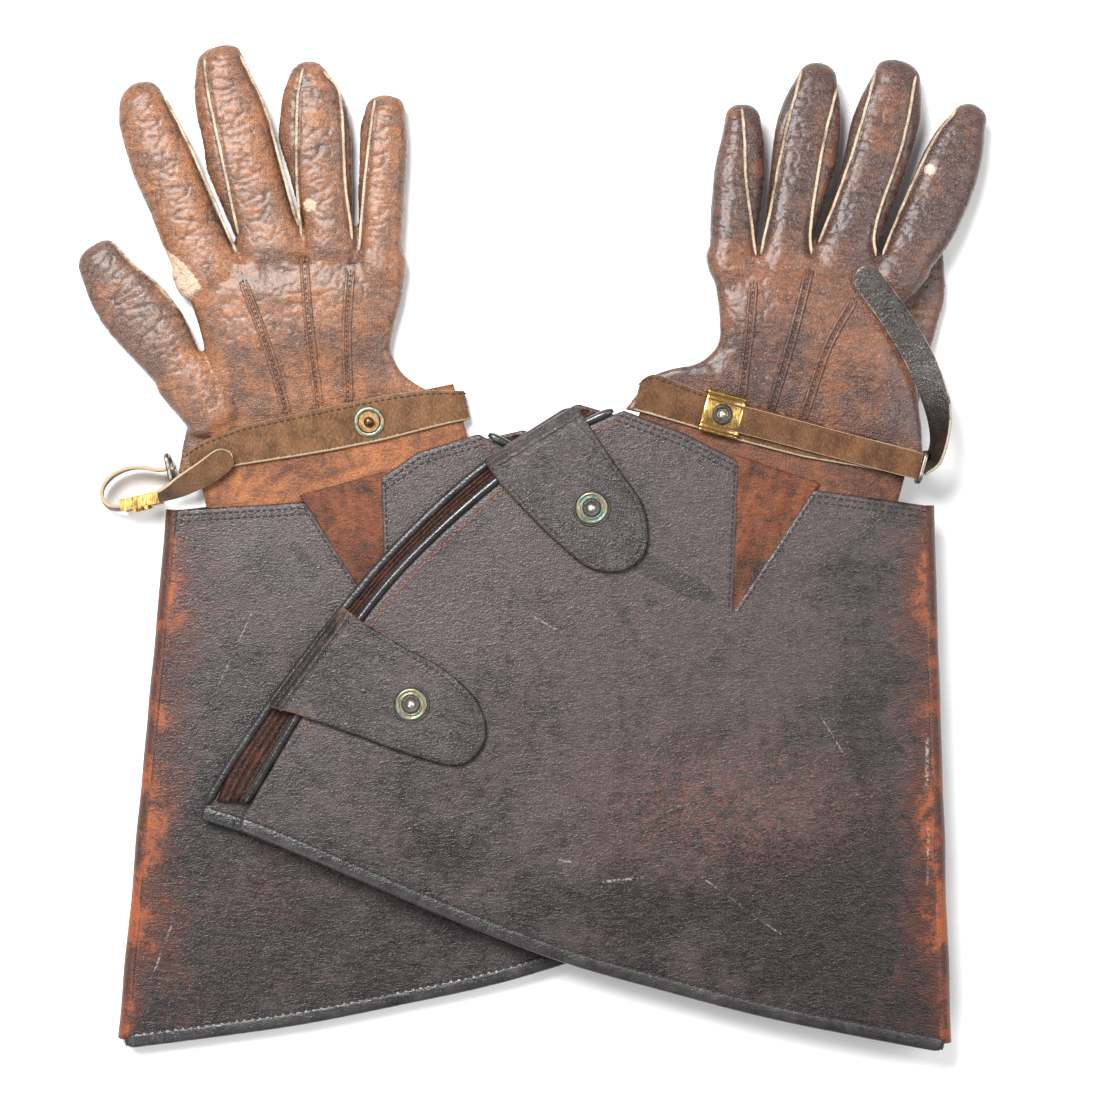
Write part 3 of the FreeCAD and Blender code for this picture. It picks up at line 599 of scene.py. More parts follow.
def leather(name, dark, light, worn, grain=0.9, rough=(0.4, 0.62), coat=0.0, relief=0.25, speck=0.35,
            marks=None, rubbed=None, specular=0.5):
    """Grained leather: clouded colour with painted light and shade, pores, fine wrinkles, painted shade in
    creases, and wear painted on the mesh.

    Where the wear starts the leather turns rubbed; where it is strong it turns worn.
    """
    s = Shader(name)
    broad, cloud, fine = s.noise(38, 3), s.noise(7, 5, distortion=0.6), s.noise(0.9, 3)
    tone = s.math("ADD", s.math("MULTIPLY", broad, 0.55), s.math("MULTIPLY", cloud, 0.45))
    # the painted tone holds random tone and also painted light and shade: sheen and shade on the cuffs, shaded
    # sides and hollows on the hands, lit pleats
    tone = s.math("ADD", tone, s.painted("tone"))
    colour = s.mix(s.ramp(tone, 0.38, 0.62), dark, light)
    shade = tuple(c * 0.45 for c in dark)
    colour = s.mix(s.math("MULTIPLY", s.ramp(fine, 0.52, 0.68), speck), colour, shade)
    pale = tuple(min(1, c * 1.7) for c in light)
    colour = s.mix(s.math("MULTIPLY", s.ramp(fine, 0.48, 0.33), speck * 0.7), colour, pale)
    wear = s.math("ADD", s.painted("wear"), s.math("MULTIPLY", s.math("SUBTRACT", cloud, 0.5), 1.1))
    wear = s.math("ADD", wear, s.math("MULTIPLY", s.math("SUBTRACT", fine, 0.5), 0.7))
    if rubbed:
        colour = s.mix(s.math("MULTIPLY", s.ramp(wear, 0.22, 0.62), 0.85), colour, rubbed)
    worn_here = s.ramp(wear, 0.70, 1.05) if rubbed else s.ramp(wear, 0.5, 0.8)
    colour = s.mix(worn_here, colour, worn)
    # painted shade in the creases, folds and grooves
    colour = s.mix(s.math("MULTIPLY", s.painted("crease"), 0.85), colour, shade)
    if marks:
        colour = marks(s, colour)
    pores = s.pores(grain)
    wrinkle = s.noise(3.4, 6, stretch=(0.6, 1.5, 1), turn=0.25, distortion=1.4)
    wrinkle = s.math("ABSOLUTE", s.math("SUBTRACT", wrinkle, 0.5))
    normal = s.bump(wrinkle, 0.8, relief * 2.4)
    normal = s.bump(pores, 0.6, relief * 0.7, normal)
    normal = s.bump(fine, 0.45, relief * 0.6, normal)
    roughness = s.ramp(s.math("ADD", s.math("MULTIPLY", cloud, 0.6), s.math("MULTIPLY", worn_here, 0.4)),
                       0.2, 0.8, *rough)
    return s.finish(colour, roughness, normal, coat=coat, specular=specular)


def suede(name, dark, light, edge):
    """Napped leather: dusty fibres, no gloss, pale cut edges."""
    s = Shader(name)
    cloud, nap = s.noise(9, 5), s.noise(0.55, 4, stretch=(1, 0.4, 1), turn=0.3)
    colour = s.mix(s.ramp(cloud, 0.35, 0.65), dark, light)
    colour = s.mix(s.math("MULTIPLY", s.ramp(nap, 0.52, 0.7), 0.5), colour, tuple(min(1, c * 1.9) for c in light))
    colour = s.mix(s.math("MULTIPLY", s.ramp(nap, 0.48, 0.3), 0.5), colour, tuple(c * 0.45 for c in dark))
    cut = s.ramp(s.math("ADD", s.painted("wear"), s.math("MULTIPLY", s.math("SUBTRACT", nap, 0.5), 0.8)),
                 0.45, 0.7)
    colour = s.mix(cut, colour, edge)
    normal = s.bump(nap, 0.7, 0.25)
    normal = s.bump(cloud, 0.4, 0.4, normal)
    return s.finish(colour, 0.85, normal, sheen=0.25, specular=0.25)


def metal(name, dark, light, patina, amount=0.45, rough=(0.22, 0.5)):
    """Tarnished metal with patina in patches and fine scratches."""
    s = Shader(name)
    cloud, fine = s.noise(2.4, 5), s.noise(0.5, 3, stretch=(1, 0.12, 1), turn=0.7)
    colour = s.mix(s.ramp(cloud, 0.35, 0.65), dark, light)
    tarnish = s.ramp(s.math("ADD", cloud, s.painted("wear")), 1.05 - amount, 1.25 - amount)
    colour = s.mix(tarnish, colour, patina)
    normal = s.bump(fine, 0.25, 0.05)
    normal = s.bump(cloud, 0.3, 0.08, normal)
    metallic = s.ramp(tarnish, 0, 1, 1.0, 0.25)
    return s.finish(colour, s.ramp(fine, 0.3, 0.7, *rough), normal, metallic=metallic)


def thread(name, colour, pale):
    """Waxed twisted sewing thread."""
    s = Shader(name)
    twist = s.noise(0.35, 2, stretch=(1, 1, 1))
    normal = s.bump(twist, 0.6, 0.15)
    return s.finish(s.mix(s.ramp(twist, 0.4, 0.65), colour, pale), 0.6, normal)


RUST = (0.11, 0.040, 0.026)
RUBBED = (0.060, 0.014, 0.006)
ORANGE = (0.25, 0.058, 0.013)


def cuff_marks(glove):
    """The scars of the cuff leather: an abraded patch, dark stains and pale scratches."""
    scratches = [((69, -121), (68.5, -152), 1.1), ((69.5, -160), (69, -187), 0.8),
                 ((-99, -176), (-81, -179), 0.7), ((-79, -186), (-61, -184), 0.8),
                 ((-34, -184), (2, -210), 0.5), ((-62, -160), (-42, -150), 0.5),
                 ((-120, -60), (-98, -72), 0.6), ((20, -110), (31, -128), 0.4)]
    stains = [((-60, -41), (-34, -54), 7.0), ((-37, -50), (-31, -56), 5.0), ((-58, -56), (-56.5, -59), 4.0),
              ((-69, -61), (-68.5, -67), 3.2)]
    if glove.name == "right":
        scratches = [((30, -60), (44, -96), 0.5), ((-20, -150), (12, -171), 0.5), ((58, -205), (66, -231), 0.6)]
        stains = [((12, -28), (2, -40), 4.0), ((40, -120), (33, -133), 3.0)]

    def flat(point):
        return glove.world([(*point, 0)])[0][:2] / MM

    def marks(s, colour):
        grit = s.noise(1.3, 4)
        patch = s.math("MULTIPLY", s.painted("scuff"), s.ramp(s.noise(5, 5), 0.3, 0.6))
        patch = s.math("MULTIPLY", patch, s.ramp(grit, 0.42, 0.62))
        colour = s.mix(patch, colour, RUST)
        blot = s.math("MULTIPLY", s.math("SUBTRACT", s.noise(9, 4), 0.5), 2.4)
        for start, end, width in stains:
            near = s.near_line(flat(start), flat(end), width)
            stain = s.ramp(s.math("ADD", near, s.math("MULTIPLY", blot, near)), 0.42, 0.50)
            colour = s.mix(s.math("MULTIPLY", stain, 0.7), colour, (0.016, 0.012, 0.012))
        thin = s.math("MULTIPLY", s.ramp(grit, 0.44, 0.56), s.ramp(s.noise(11, 3), 0.38, 0.56))
        for start, end, width in scratches:
            scratch = s.math("MULTIPLY", s.near_line(flat(start), flat(end), width), thin)
            colour = s.mix(s.math("MULTIPLY", scratch, 0.55), colour, (0.40, 0.34, 0.32))
        return colour

    return marks


def make_materials(glove):
    left = glove.name == "left"
    n = glove.name + "_"
    hand_light = (0.185, 0.066, 0.026) if left else (0.285, 0.110, 0.042)
    hand_dark = (0.060, 0.028, 0.022) if left else (0.110, 0.055, 0.036)
    sleeve_light = (0.17, 0.058, 0.024) if left else (0.33, 0.115, 0.036)
    sleeve_dark = (0.05, 0.016, 0.007) if left else (0.10, 0.030, 0.010)
    suede_light = (0.125, 0.056, 0.023) if left else (0.160, 0.078, 0.035)
    suede_dark = (0.060, 0.025, 0.010) if left else (0.082, 0.038, 0.016)
    stud = ((0.40, 0.36, 0.30), (0.80, 0.76, 0.68)) if left else ((0.16, 0.085, 0.035), (0.30, 0.19, 0.09))
    return {
        "cuff": leather(n + "cuff_leather", (0.008, 0.005, 0.005), (0.048, 0.033, 0.032), ORANGE,
                        rough=(0.30, 0.50), relief=0.26, speck=0.5, specular=0.42, marks=cuff_marks(glove),
                        rubbed=RUBBED),
        "strip": leather(n + "edge_leather", (0.025, 0.012, 0.009), (0.060, 0.019, 0.009), ORANGE,
                         rough=(0.38, 0.6), relief=0.34, speck=0.75, rubbed=RUBBED),
        "binding": leather(n + "binding_leather", (0.012, 0.011, 0.012), (0.035, 0.031, 0.031),
                           (0.12, 0.10, 0.095), rough=(0.25, 0.48), relief=0.18, speck=0.3),
        "piping": leather(n + "piping_leather", (0.010, 0.009, 0.010), (0.028, 0.026, 0.026),
                          (0.09, 0.08, 0.075), rough=(0.16, 0.4), relief=0.12, speck=0.2, coat=0.3),
        "gusset": leather(n + "gusset_leather", (0.022, 0.007, 0.004), (0.15, 0.042, 0.013),
                          (0.40, 0.20, 0.11), rough=(0.42, 0.65), relief=0.45, specular=0.28),
        "sleeve": leather(n + "sleeve_leather", sleeve_dark, sleeve_light,
                          (0.42, 0.24, 0.14), rough=(0.42, 0.65), relief=0.45, specular=0.35),
        "tab": leather(n + "tab_leather", (0.007, 0.0045, 0.004), (0.045, 0.030, 0.026),
                       (0.13, 0.085, 0.052), rough=(0.32, 0.55), relief=0.42, speck=0.6),
        "hand": leather(n + "hand_leather", hand_dark, hand_light, (0.58, 0.42, 0.30), grain=0.7,
                        rough=(0.24, 0.44), relief=0.7, speck=0.3, coat=0.35),
        "seam": leather(n + "seam_leather", (0.20, 0.115, 0.068), (0.52, 0.40, 0.28), (0.66, 0.54, 0.40),
                        grain=0.4, rough=(0.6, 0.8), relief=0.3, speck=0.5),
        "suede": suede(n + "suede", suede_dark, suede_light, (0.42, 0.31, 0.20)),
        "tail": leather(n + "strap_leather", (0.006, 0.004, 0.003), (0.032, 0.018, 0.013),
                        (0.42, 0.34, 0.25), rough=(0.28, 0.5), relief=0.4, speck=0.5),
        "dark_thread": thread(n + "dark_thread", (0.010, 0.008, 0.008), (0.035, 0.026, 0.022)),
        "red_thread": thread(n + "red_thread", (0.14, 0.045, 0.025), (0.28, 0.10, 0.055)),
        "brass": metal(n + "brass", (0.46, 0.27, 0.07), (0.80, 0.55, 0.20), (0.16, 0.09, 0.03), 0.30,
                       rough=(0.16, 0.36)),
        "old_brass": metal(n + "old_brass", (0.20, 0.17, 0.11), (0.36, 0.30, 0.18), (0.05, 0.115, 0.10), 0.62),
        "stud": metal(n + "stud_metal", *stud, (0.12, 0.08, 0.045), 0.35),
        "steel": metal(n + "ring_steel", (0.16, 0.13, 0.11), (0.36, 0.32, 0.28), (0.09, 0.05, 0.035), 0.5),
        # near-black leather: painted shade in and round the tab sockets, and the slide's dark socket
        "hollow": leather(n + "socket_well", (0.008, 0.007, 0.006), (0.03, 0.024, 0.018), (0.05, 0.09, 0.08)),
    }


# ---- Cuff --------------------------------------------------------------------------------------

def swell(glove, x, y):
    """How far the stiff leather stands above flat, in millimetres."""
    seed = 11.0 if glove.name == "left" else 29.0
    points = np.column_stack([x, y, np.full(len(x), seed)])
    return 0.7 * noise(points / 70) + 0.3 * noise(points / 21 + 5)


def fold_gap(x, y):
    """Distance in from the thumb-side fold of the cuff."""
    start, end = np.array(FOLD_TOP), np.array(FOLD_HEM)
    way = unit(end - start)
    return np.abs((x - start[0]) * way[1] - (y - start[1]) * way[0])


def finish_piece(glove, piece, body=None, nodes=()):
    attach(piece, glove.name + "_" + (body or "cuff"))
    wrap_up(glove, nodes)
    return piece


def wrap_up(glove, nodes=()):
    if nodes:
        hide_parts(*[glove.name + "_" + node for node in nodes])


def cuff_paint(glove, piece, x, y, edge_gap, front):
    """Wear towards the fold, the edges and a little towards the hem, where the leather turns redder; painted sheen
    lighter towards the wrist, painted shade darker towards the hem, darker also towards the fold; an abraded
    patch; painted shade in thin creases.
    """
    points = np.column_stack([x, y, np.zeros(len(x))])
    cloud = noise(points / 26)
    width = 17 if glove.name == "left" else 22
    wear = 0.78 * np.exp(-(fold_gap(x, y) / width) ** 1.4) * (0.75 + 1.1 * cloud)
    wear += 0.16 * np.exp(-edge_gap / 3.0) + 0.10 * (1 - smoothstep(-235, -150, y))
    scuff = np.exp(-(((x + 18) / 62) ** 2 + ((y + 152) / 30) ** 2) ** 1.5)
    scuff = scuff if glove.name == "left" else 0.35 * np.exp(-(((x - 20) / 34) ** 2 + ((y + 190) / 26) ** 2))
    # painted sheen: lighter towards the wrist; painted shade: darker towards the hem
    tone = 0.15 * smoothstep(-190, -40, y) - 0.12 * (1 - smoothstep(-250, -150, y)) + 0.16 * cloud
    # darker towards the thumb-side fold
    tone -= 0.14 * np.exp(-(fold_gap(x, y) / 60) ** 2)
    # painted shade in thin wandering creases on the front panel
    paint(piece, wear=wear if front else 0.5 * wear, scuff=scuff * front, tone=tone,
          crease=0.6 * creases(points / 34 + 3, 0.03) * front)


def panel(glove, name, outline, low, high, front, nodes):
    rows, faces, edge_gap = plate(outline, high - low)
    lift = swell(glove, rows[:, 0], rows[:, 1])
    if not front:
        lift = np.clip(lift, 0, None) * 0.6
    z = (low + high) / 2 + rows[:, 2] + lift
    vertices = glove.world(np.column_stack([rows[:, :2], z]))
    piece = outward(mesh_object(glove.name + "_" + name, vertices, faces, glove.materials["cuff"]))
    cuff_paint(glove, piece, rows[:, 0], rows[:, 1], edge_gap, front)
    return finish_piece(glove, piece, None, nodes)


def gusset_corners(glove):
    middle, tip_x = glove.shape["gusset"]
    return (middle + GUSSET_HALF, -6.8), (tip_x, GUSSET_TIP_Y), (middle - GUSSET_HALF, 6.2)


def hem_line(end):
    return curve([FOLD_HEM] + HEM + [end])


def front_panel(glove):
    thumb_side, tip, little_side = gusset_corners(glove)
    outline = np.vstack([offset(hem_line(HEM_FRONT_END), -1.0), curve(OPENING_FRONT[::-1]),
                         [(-42, 19), little_side, tip, thumb_side, FOLD_TOP]])
    panel(glove, "cuff_front", outline, FRONT_LOW, FRONT_TOP, True, ["cuff_front_panel"])


def back_panel(glove):
    top = curve([OPENING_BACK[0]] + TOP_EDGE_BACK[::-1] + [FOLD_TOP])
    outline = np.vstack([offset(hem_line(HEM_BACK_END), -1.0), curve(OPENING_BACK[::-1]), top])
    panel(glove, "cuff_back", outline, 0.0, BACK_TOP, False, ["cuff_back_panel"])


def local_piece(glove, name, parts, material, body=None, nodes=(), hand=False):
    """Merge shells given in glove millimetres and fasten them to a body."""
    placed = [(glove.world(np.array(vertices), hand), faces) for vertices, faces in parts]
    piece = merge(glove.name + "_" + name, placed, glove.materials[material])
    return finish_piece(glove, piece, body, nodes)


def fold_strip(glove):
    """The cuff's thumb-side edge, folded round from back to front."""
    line = resample([(*FOLD_TOP, CUFF_MID), (*FOLD_HEM, CUFF_MID)], 4.0)
    line = line[:-1]
    outer = [(-math.cos(a) * 5.6 + 0.9, math.sin(a) * 5.62) for a in np.linspace(-1.62, 1.62, 15)]
    inner = [(-math.cos(a) * 3.5 + 0.9, math.sin(a) * 3.5) for a in np.linspace(1.62, -1.62, 11)]
    vertices, faces = swept(line, outer + inner)
    vertices = np.array(vertices)
    bend = noise(np.column_stack([vertices[:, 1] / 30, vertices[:, 2] * 0, vertices[:, 0] * 0]))
    vertices[:, 0] += 0.7 * bend
    piece = local_piece(glove, "fold_strip", [(vertices, faces)], "strip", nodes=["side_strip"])
    wear = 0.60 + 0.8 * noise(vertices / 19) + 0.10 * (1 - smoothstep(-240, -60, vertices[:, 1]))
    paint(piece, wear=wear, tone=0.05 * np.ones(len(vertices)))


def surface_row(glove, line, rise):
    """A flat line laid on the front panel, this far above it."""
    line = np.array(line)
    z = FRONT_TOP + swell(glove, line[:, 0], line[:, 1]) + rise
    return np.column_stack([line, z])


def stitches(line, pitch=3.2, length=2.1, width=0.42, height=0.34):
    """A row of short raised stitches along a 3-D line."""
    even = resample(line, pitch)
    way = np.gradient(even, axis=0)
    parts = []
    for point, ahead in zip(even, way):
        ahead = unit(ahead)
        across = unit(np.cross(ahead, UP))
        rings = []
        for at, size in ((-0.5, 0.45), (-0.28, 1.0), (0.28, 1.0), (0.5, 0.45)):
            centre = point + ahead * at * length
            rings.append([centre + size * (math.cos(a) * width * across + math.sin(a) * height * UP)
                          for a in np.arange(6) * math.pi / 3])
        parts.append(loft(rings))
    return parts


def cuff_stitching(glove):
    thumb_side, tip, little_side = (np.array(p, float) for p in gusset_corners(glove))
    top_little = resample([OPENING_FRONT[0], (-42, 19), little_side], 3)
    top_thumb = resample([thumb_side, FOLD_TOP], 3)
    vee = [resample([little_side, tip], 3), resample([tip, thumb_side], 3)]
    rows = []
    for inset in (2.6, 5.4):
        for line in (top_little, top_thumb):
            rows += stitches(surface_row(glove, offset(line, -inset), 0.12))
    for line in vee:
        rows += stitches(surface_row(glove, offset(line, -2.0)[1:-1], 0.12), 2.9, 1.9)
    hem = offset(hem_line(HEM_FRONT_END), -6.2)
    rows += stitches(surface_row(glove, hem[2:-2], 0.85), 3.6, 2.4)
    local_piece(glove, "cuff_stitching", rows, "dark_thread")
    opening = offset(curve(OPENING_FRONT), 4.2)
    rows = stitches(surface_row(glove, opening[1:-3], 0.12), 3.1, 2.2, 0.55, 0.4)
    local_piece(glove, "opening_stitching", rows, "red_thread")


def hem_binding(glove):
    """Thin black leather folded over the lower edges of both panels."""
    parts = []
    for end, low, high in ((HEM_FRONT_END, 8.6, 11.9), (HEM_BACK_END, 0.0, 2.9)):
        line = offset(hem_line(end), -3.3)
        middle = np.full(len(line), (low + high) / 2)
        if low > 1:
            middle += swell(glove, line[:, 0], line[:, 1])
        rolled = 0.16 * noise(np.column_stack([line / 6, middle]))
        section = round_section(3.5, (high - low) / 2, 16, 3.0)
        parts.append(swept(np.column_stack([line, middle + rolled * (low > 1)]), section, taper=2))
    piece = local_piece(glove, "hem_binding", parts, "binding", nodes=["hem_binding"])
    paint(piece, wear=0.25 + 0.4 * noise(coordinates(piece) / MM / 15))


def opening_edges(glove):
    """Covered cords along the two open edges of the cuff."""
    front = offset(curve(OPENING_FRONT + [(-241, -151)]), -2.0)[2:]
    z = 10.3 + swell(glove, front[:, 0], front[:, 1])
    cord = swept(np.column_stack([front, z]), round_section(2.0, 2.0, 14), taper=2)
    piece = local_piece(glove, "opening_piping", [cord], "piping", nodes=["opening_piping"])
    paint(piece, wear=0.15 + 0.5 * noise(coordinates(piece) / MM / 9))
    back = offset(curve(OPENING_BACK + [(-262, -151)]), 0.6)[2:]
    cord = swept(np.column_stack([back, np.full(len(back), 2.3)]), round_section(2.2, 2.2, 14, 2.3), taper=2)
    piece = local_piece(glove, "back_edge_cord", [cord], "binding")
    paint(piece, wear=0.2 + 0.5 * noise(coordinates(piece) / MM / 9))


def bellows(glove):
    """The soft folded inset between the two open edges."""
    front = resample(offset(curve([(-78, 27)] + OPENING_FRONT[1:] + [(-240, -150)]), -0.5), 2.6)
    back = resample(offset(curve(OPENING_BACK + [(-259, -149)]), 2.4), 2.6)
    count = 90

    def pick(rows):
        fine = resample(rows, 0.4)
        return fine[np.linspace(0, len(fine) - 1, count).astype(int)]

    front, back = pick(front), pick(back)
    across = np.linspace(0, 1, 17)
    rings = []
    for i in range(count):
        flat = front[i] + (back[i] - front[i]) * across[:, None]
        z = 9.0 + (3.4 - 9.0) * across ** 0.8 + 0.9 * np.sin(across * math.pi * 5)
        wrinkle = noise(np.column_stack([flat / 7, np.full(17, 2.0)]))
        z = z + 0.5 * wrinkle
        top = np.column_stack([flat, z])
        rings.append(np.vstack([top, top[::-1] - (0, 0, 1.1)]))
    piece = local_piece(glove, "bellows", [loft(rings)], "gusset", nodes=["bellows_gusset"])
    points = coordinates(piece) / MM
    # painted shade in the creases
    paint(piece, tone=0.12 * noise(points / 12) - 0.12, crease=creases(points / 9, 0.12), wear=0.0)


def wrist_gusset(glove):
    thumb_side, tip, little_side = (np.array(p, float) for p in gusset_corners(glove))
    outline = np.vstack([thumb_side + (3, 3), little_side + (-3, 3.6), tip + (0, -5.0)])
    rows, faces, edge_gap = plate(resample(outline, 2, closed=True)[::-1], 1.4, spacing=1.8)
    x, y = rows[:, 0], rows[:, 1]
    middle = (thumb_side + little_side) / 2
    across = (x - middle[0] - (tip[0] - middle[0]) * (middle[1] - y) / (middle[1] - tip[1]))
    pleats = noise(on_plane(across / 4.5, y / 26))
    z = 10.1 + rows[:, 2] + 0.75 * pleats + swell(glove, x, y)
    vertices = glove.world(np.column_stack([x, y, z]))
    piece = outward(mesh_object(glove.name + "_wrist_gusset", vertices, faces, glove.materials["gusset"]))
    # painted light on the raised pleats and painted shade in their hollows, from the noise that lifts them;
    # painted shade in fine creases
    paint(piece, tone=0.20 * pleats + 0.02, crease=0.8 * creases(on_plane(across / 7, y / 20), 0.1),
          wear=0.12 * np.exp(-edge_gap / 2))
    finish_piece(glove, piece, None, ["wrist_gusset"])


# ---- Wrist -------------------------------------------------------------------------------------

def wrist_xy(glove, u, v):
    """Glove-frame place from distances along the wrist line and past it."""
    c, s = math.cos(WRIST_SLOPE), math.sin(WRIST_SLOPE)
    return glove.shape["wrist"][0] + u * c - v * s, glove.shape["wrist"][1] + u * s + v * c


def wrist_sleeve(glove):
    """The gathered tube of soft leather between the band and the cuff."""
    angles = np.arange(96) * 2 * math.pi / 96
    sx, sz = superellipse(angles, 4.0)
    rings = []
    for v in np.linspace(-43, -3, 15):
        u = 62.5 * sx + 0.25 * (v + 20) * (sx < 0) * 0.2
        x, y = wrist_xy(glove, u, np.full(96, v))
        gathers = noise(np.column_stack([u / 5, np.full(96, v / 24), np.where(sz > 0, 0, 9)]))
        z = CUFF_MID + sz * (2.9 + 0.5 * gathers + 0.25 * noise(on_plane(u / 11, np.full(len(u), v / 6))))
        rings.append(np.column_stack([x, y, z]))
    piece = local_piece(glove, "wrist_sleeve", [loft(rings)], "sleeve", nodes=["wrist_sleeve"])
    points = coordinates(piece) / MM
    # painted shade in the creases
    paint(piece, crease=0.8 * creases(points / 8, 0.1), tone=0.15 * noise(points / 20), wear=0.1)


def band_bounds(glove, u):
    """Lower and upper edge of the wrist band at a distance along the wrist line."""
    edges = []
    for key in ("band_low", "band_top"):
        points = np.array(glove.shape[key], float)
        eu, ev = glove.wrist_uv(points[:, 0], points[:, 1])
        order = np.argsort(eu)
        fine = np.linspace(-80, 80, 321)
        values = np.interp(fine, eu[order], ev[order])
        kernel = np.exp(-(np.arange(-16, 17) / 8.0) ** 2)
        values = np.convolve(np.pad(values, 16, mode="edge"), kernel / kernel.sum(), mode="valid")
        edges.append(np.interp(u, fine, values))
    return edges


BAND_SX = 66.0


def band_point(glove, angle, share, skin):
    """On the band's outer (skin 0) or inner surface; share 0 to 1 from its lower edge to its upper."""
    sx, sz = superellipse(angle, 4.0)
    u = (BAND_SX - skin) * sx
    low, high = band_bounds(glove, u)
    v = low + (high - low) * share
    x, y = wrist_xy(glove, u, v)
    sag = 0.35 * noise(on_plane(u / 16, v / 9))
    z = CUFF_MID + sz * (5.1 - skin + sag)
    return np.column_stack([x, y, z])


def wrist_band(glove):
    angles = np.arange(120) * 2 * math.pi / 120
    shares = [0.02, 0.0, 0.03, 0.1, 0.3, 0.5, 0.7, 0.9, 0.97, 1.0, 0.98]
    skins = [0.9, 0.45, 0.1, 0, 0, 0, 0, 0, 0.1, 0.45, 0.9]
    outer = [band_point(glove, angles, share, skin) for share, skin in zip(shares, skins)]
    inner = [band_point(glove, angles, share, 1.6) for share in (0.9, 0.5, 0.1)]
    rings = outer + inner
    size, count = 120, len(outer + inner)
    vertices = np.vstack(rings)
    faces = []
    for i in range(count):
        j = (i + 1) % count
        for k in range(size):
            n = (k + 1) % size
            faces.append((i * size + k, i * size + n, j * size + n, j * size + k))
    piece = local_piece(glove, "wrist_band", [(vertices, faces)], "suede", nodes=["wrist_band"])
    ring = np.repeat(np.arange(count), size)
    paint(piece, wear=np.where((ring <= 2) | (ring == 9), 0.75, 0.0)
          + 0.12 * noise(vertices / 14) * (ring > 2), tone=0 * ring)
    front = np.linspace(0.10, math.pi - 0.10, 90)
    row = band_point(glove, front, 0.90, -0.12)
    local_piece(glove, "band_stitching", stitches(row, 3.0, 1.9, 0.35, 0.28), "dark_thread")


# ---- Tabs and press studs ----------------------------------------------------------------------

def tab_frame(tab):
    start, end = (np.array(p, float) for p in tab["fold"])
    along = unit(end - start)
    return (start + end) / 2, along, np.array([along[1], -along[0]])


def tab_path(q):
    """Where the tab's middle surface runs: distance over the front, height, and the outward normal."""
    radius = 5.2
    arc = math.pi * radius
    middle_z = (BACK_TOP + TAB_TOP) / 2
    q = np.asarray(q, float)
    turn = np.clip(q / radius, 0, math.pi)
    away = 6.2 - radius * np.sin(turn)
    away = np.where(q < 0, 6.2 - q, away)
    away = np.where(q > arc, 6.2 + (q - arc), away)
    z = middle_z - radius * np.cos(turn)
    normal_away = -np.sin(turn)
    normal_z = -np.cos(turn)
    return away, z, normal_away, normal_z


def tab_piece(glove, which):
    """One continuous strap: sewn to the back, folded round the opening, and over the front as a flap."""
    tab = TABS[which]
    (x0, y0), (x1, y1) = tab["fold"]
    half = math.hypot(x1 - x0, y1 - y0) / 2 - 1.0
    over = math.pi * 5.2 - 6.2
    flap = curve([(x, y + over) for x, y in tab["outline"]])
    outline = np.vstack([[(-half, -9.0), (half, -9.0)],
                         curve([(half, 6.0), (half * 0.99, 12.0), flap[0]], 2)[:-1], flap,
                         curve([flap[-1], (-half * 0.99, 12.0), (-half, 6.0)], 2)[1:]])
    rows, faces, edge_gap = plate(outline, 2.0, rim=1.2, spacing=1.9)
    away, z, normal_away, normal_z = tab_path(rows[:, 1])
    along = rows[:, 0]
    grain = np.column_stack([along / 5, rows[:, 1] / 13, np.full(len(along), 4.0)])
    limit = smoothstep(14, 26, rows[:, 1])
    curl = 0.5 * noise(on_plane(along / 24, rows[:, 1] / 24)) * limit
    relief = 0.22 * noise(grain) - 0.28 * creases(grain / 1.6, 0.14)
    thick = rows[:, 2] + np.where(rows[:, 2] > 0, relief, 0) + curl
    away = away + normal_away * thick
    z = z + normal_z * (-thick) * np.where(rows[:, 1] < 0, 1, 1)
    z = np.where(rows[:, 1] > math.pi * 5.2, (TAB_LOW + TAB_TOP) / 2 + thick, z)
    middle, way, out = tab_frame(tab)
    flat = middle + along[:, None] * way + away[:, None] * out
    vertices = glove.world(np.column_stack([flat, z]))
    name = which + "_tab_leather"
    piece = outward(mesh_object(glove.name + "_" + name, vertices, faces, glove.materials["tab"]))
    rubbed = np.exp(-((rows[:, 1] - 12) / 26) ** 2) * (0.55 if which == "lower" else 0.25)
    # painted shade in the creases pressed into the grain
    paint(piece, wear=rubbed * (0.8 + 0.9 * noise(grain * 0.7)) + 0.35 * np.exp(-edge_gap / 0.7),
          crease=creases(grain, 0.12) * 0.8, tone=0.16 * noise(grain / 3))
    hinge = np.append(middle + out * 7.0, 13.6), np.append(middle + out * 16.0, 13.6)
    start, end = (tuple(point) for point in glove.world(np.array(hinge)))
    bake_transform(piece)
    nodes = [which + "_tab"] + (["tab_roots"] if which == "upper" else [])
    wrap_up(glove, nodes)
    inner = [(x - 2.4 * np.sign(x), y - 2.4 * (y > 70)) for x, y in tab["outline"][1:-1]]
    seam = resample([(half - 2.5, 9.0), *inner, (-half + 2.5, 9.0)], 2.0)
    seam = curve(seam[::4], 2.0)
    seam = seam[seam[:, 1] > 16]
    places = middle + seam[:, :1] * way + seam[:, 1:] * out
    rows3 = np.column_stack([places, np.full(len(places), TAB_TOP + 0.12)])
    local_piece(glove, which + "_tab_stitching", stitches(rows3, 3.0, 1.8, 0.3, 0.25), "dark_thread",
                body=which + "_tab")


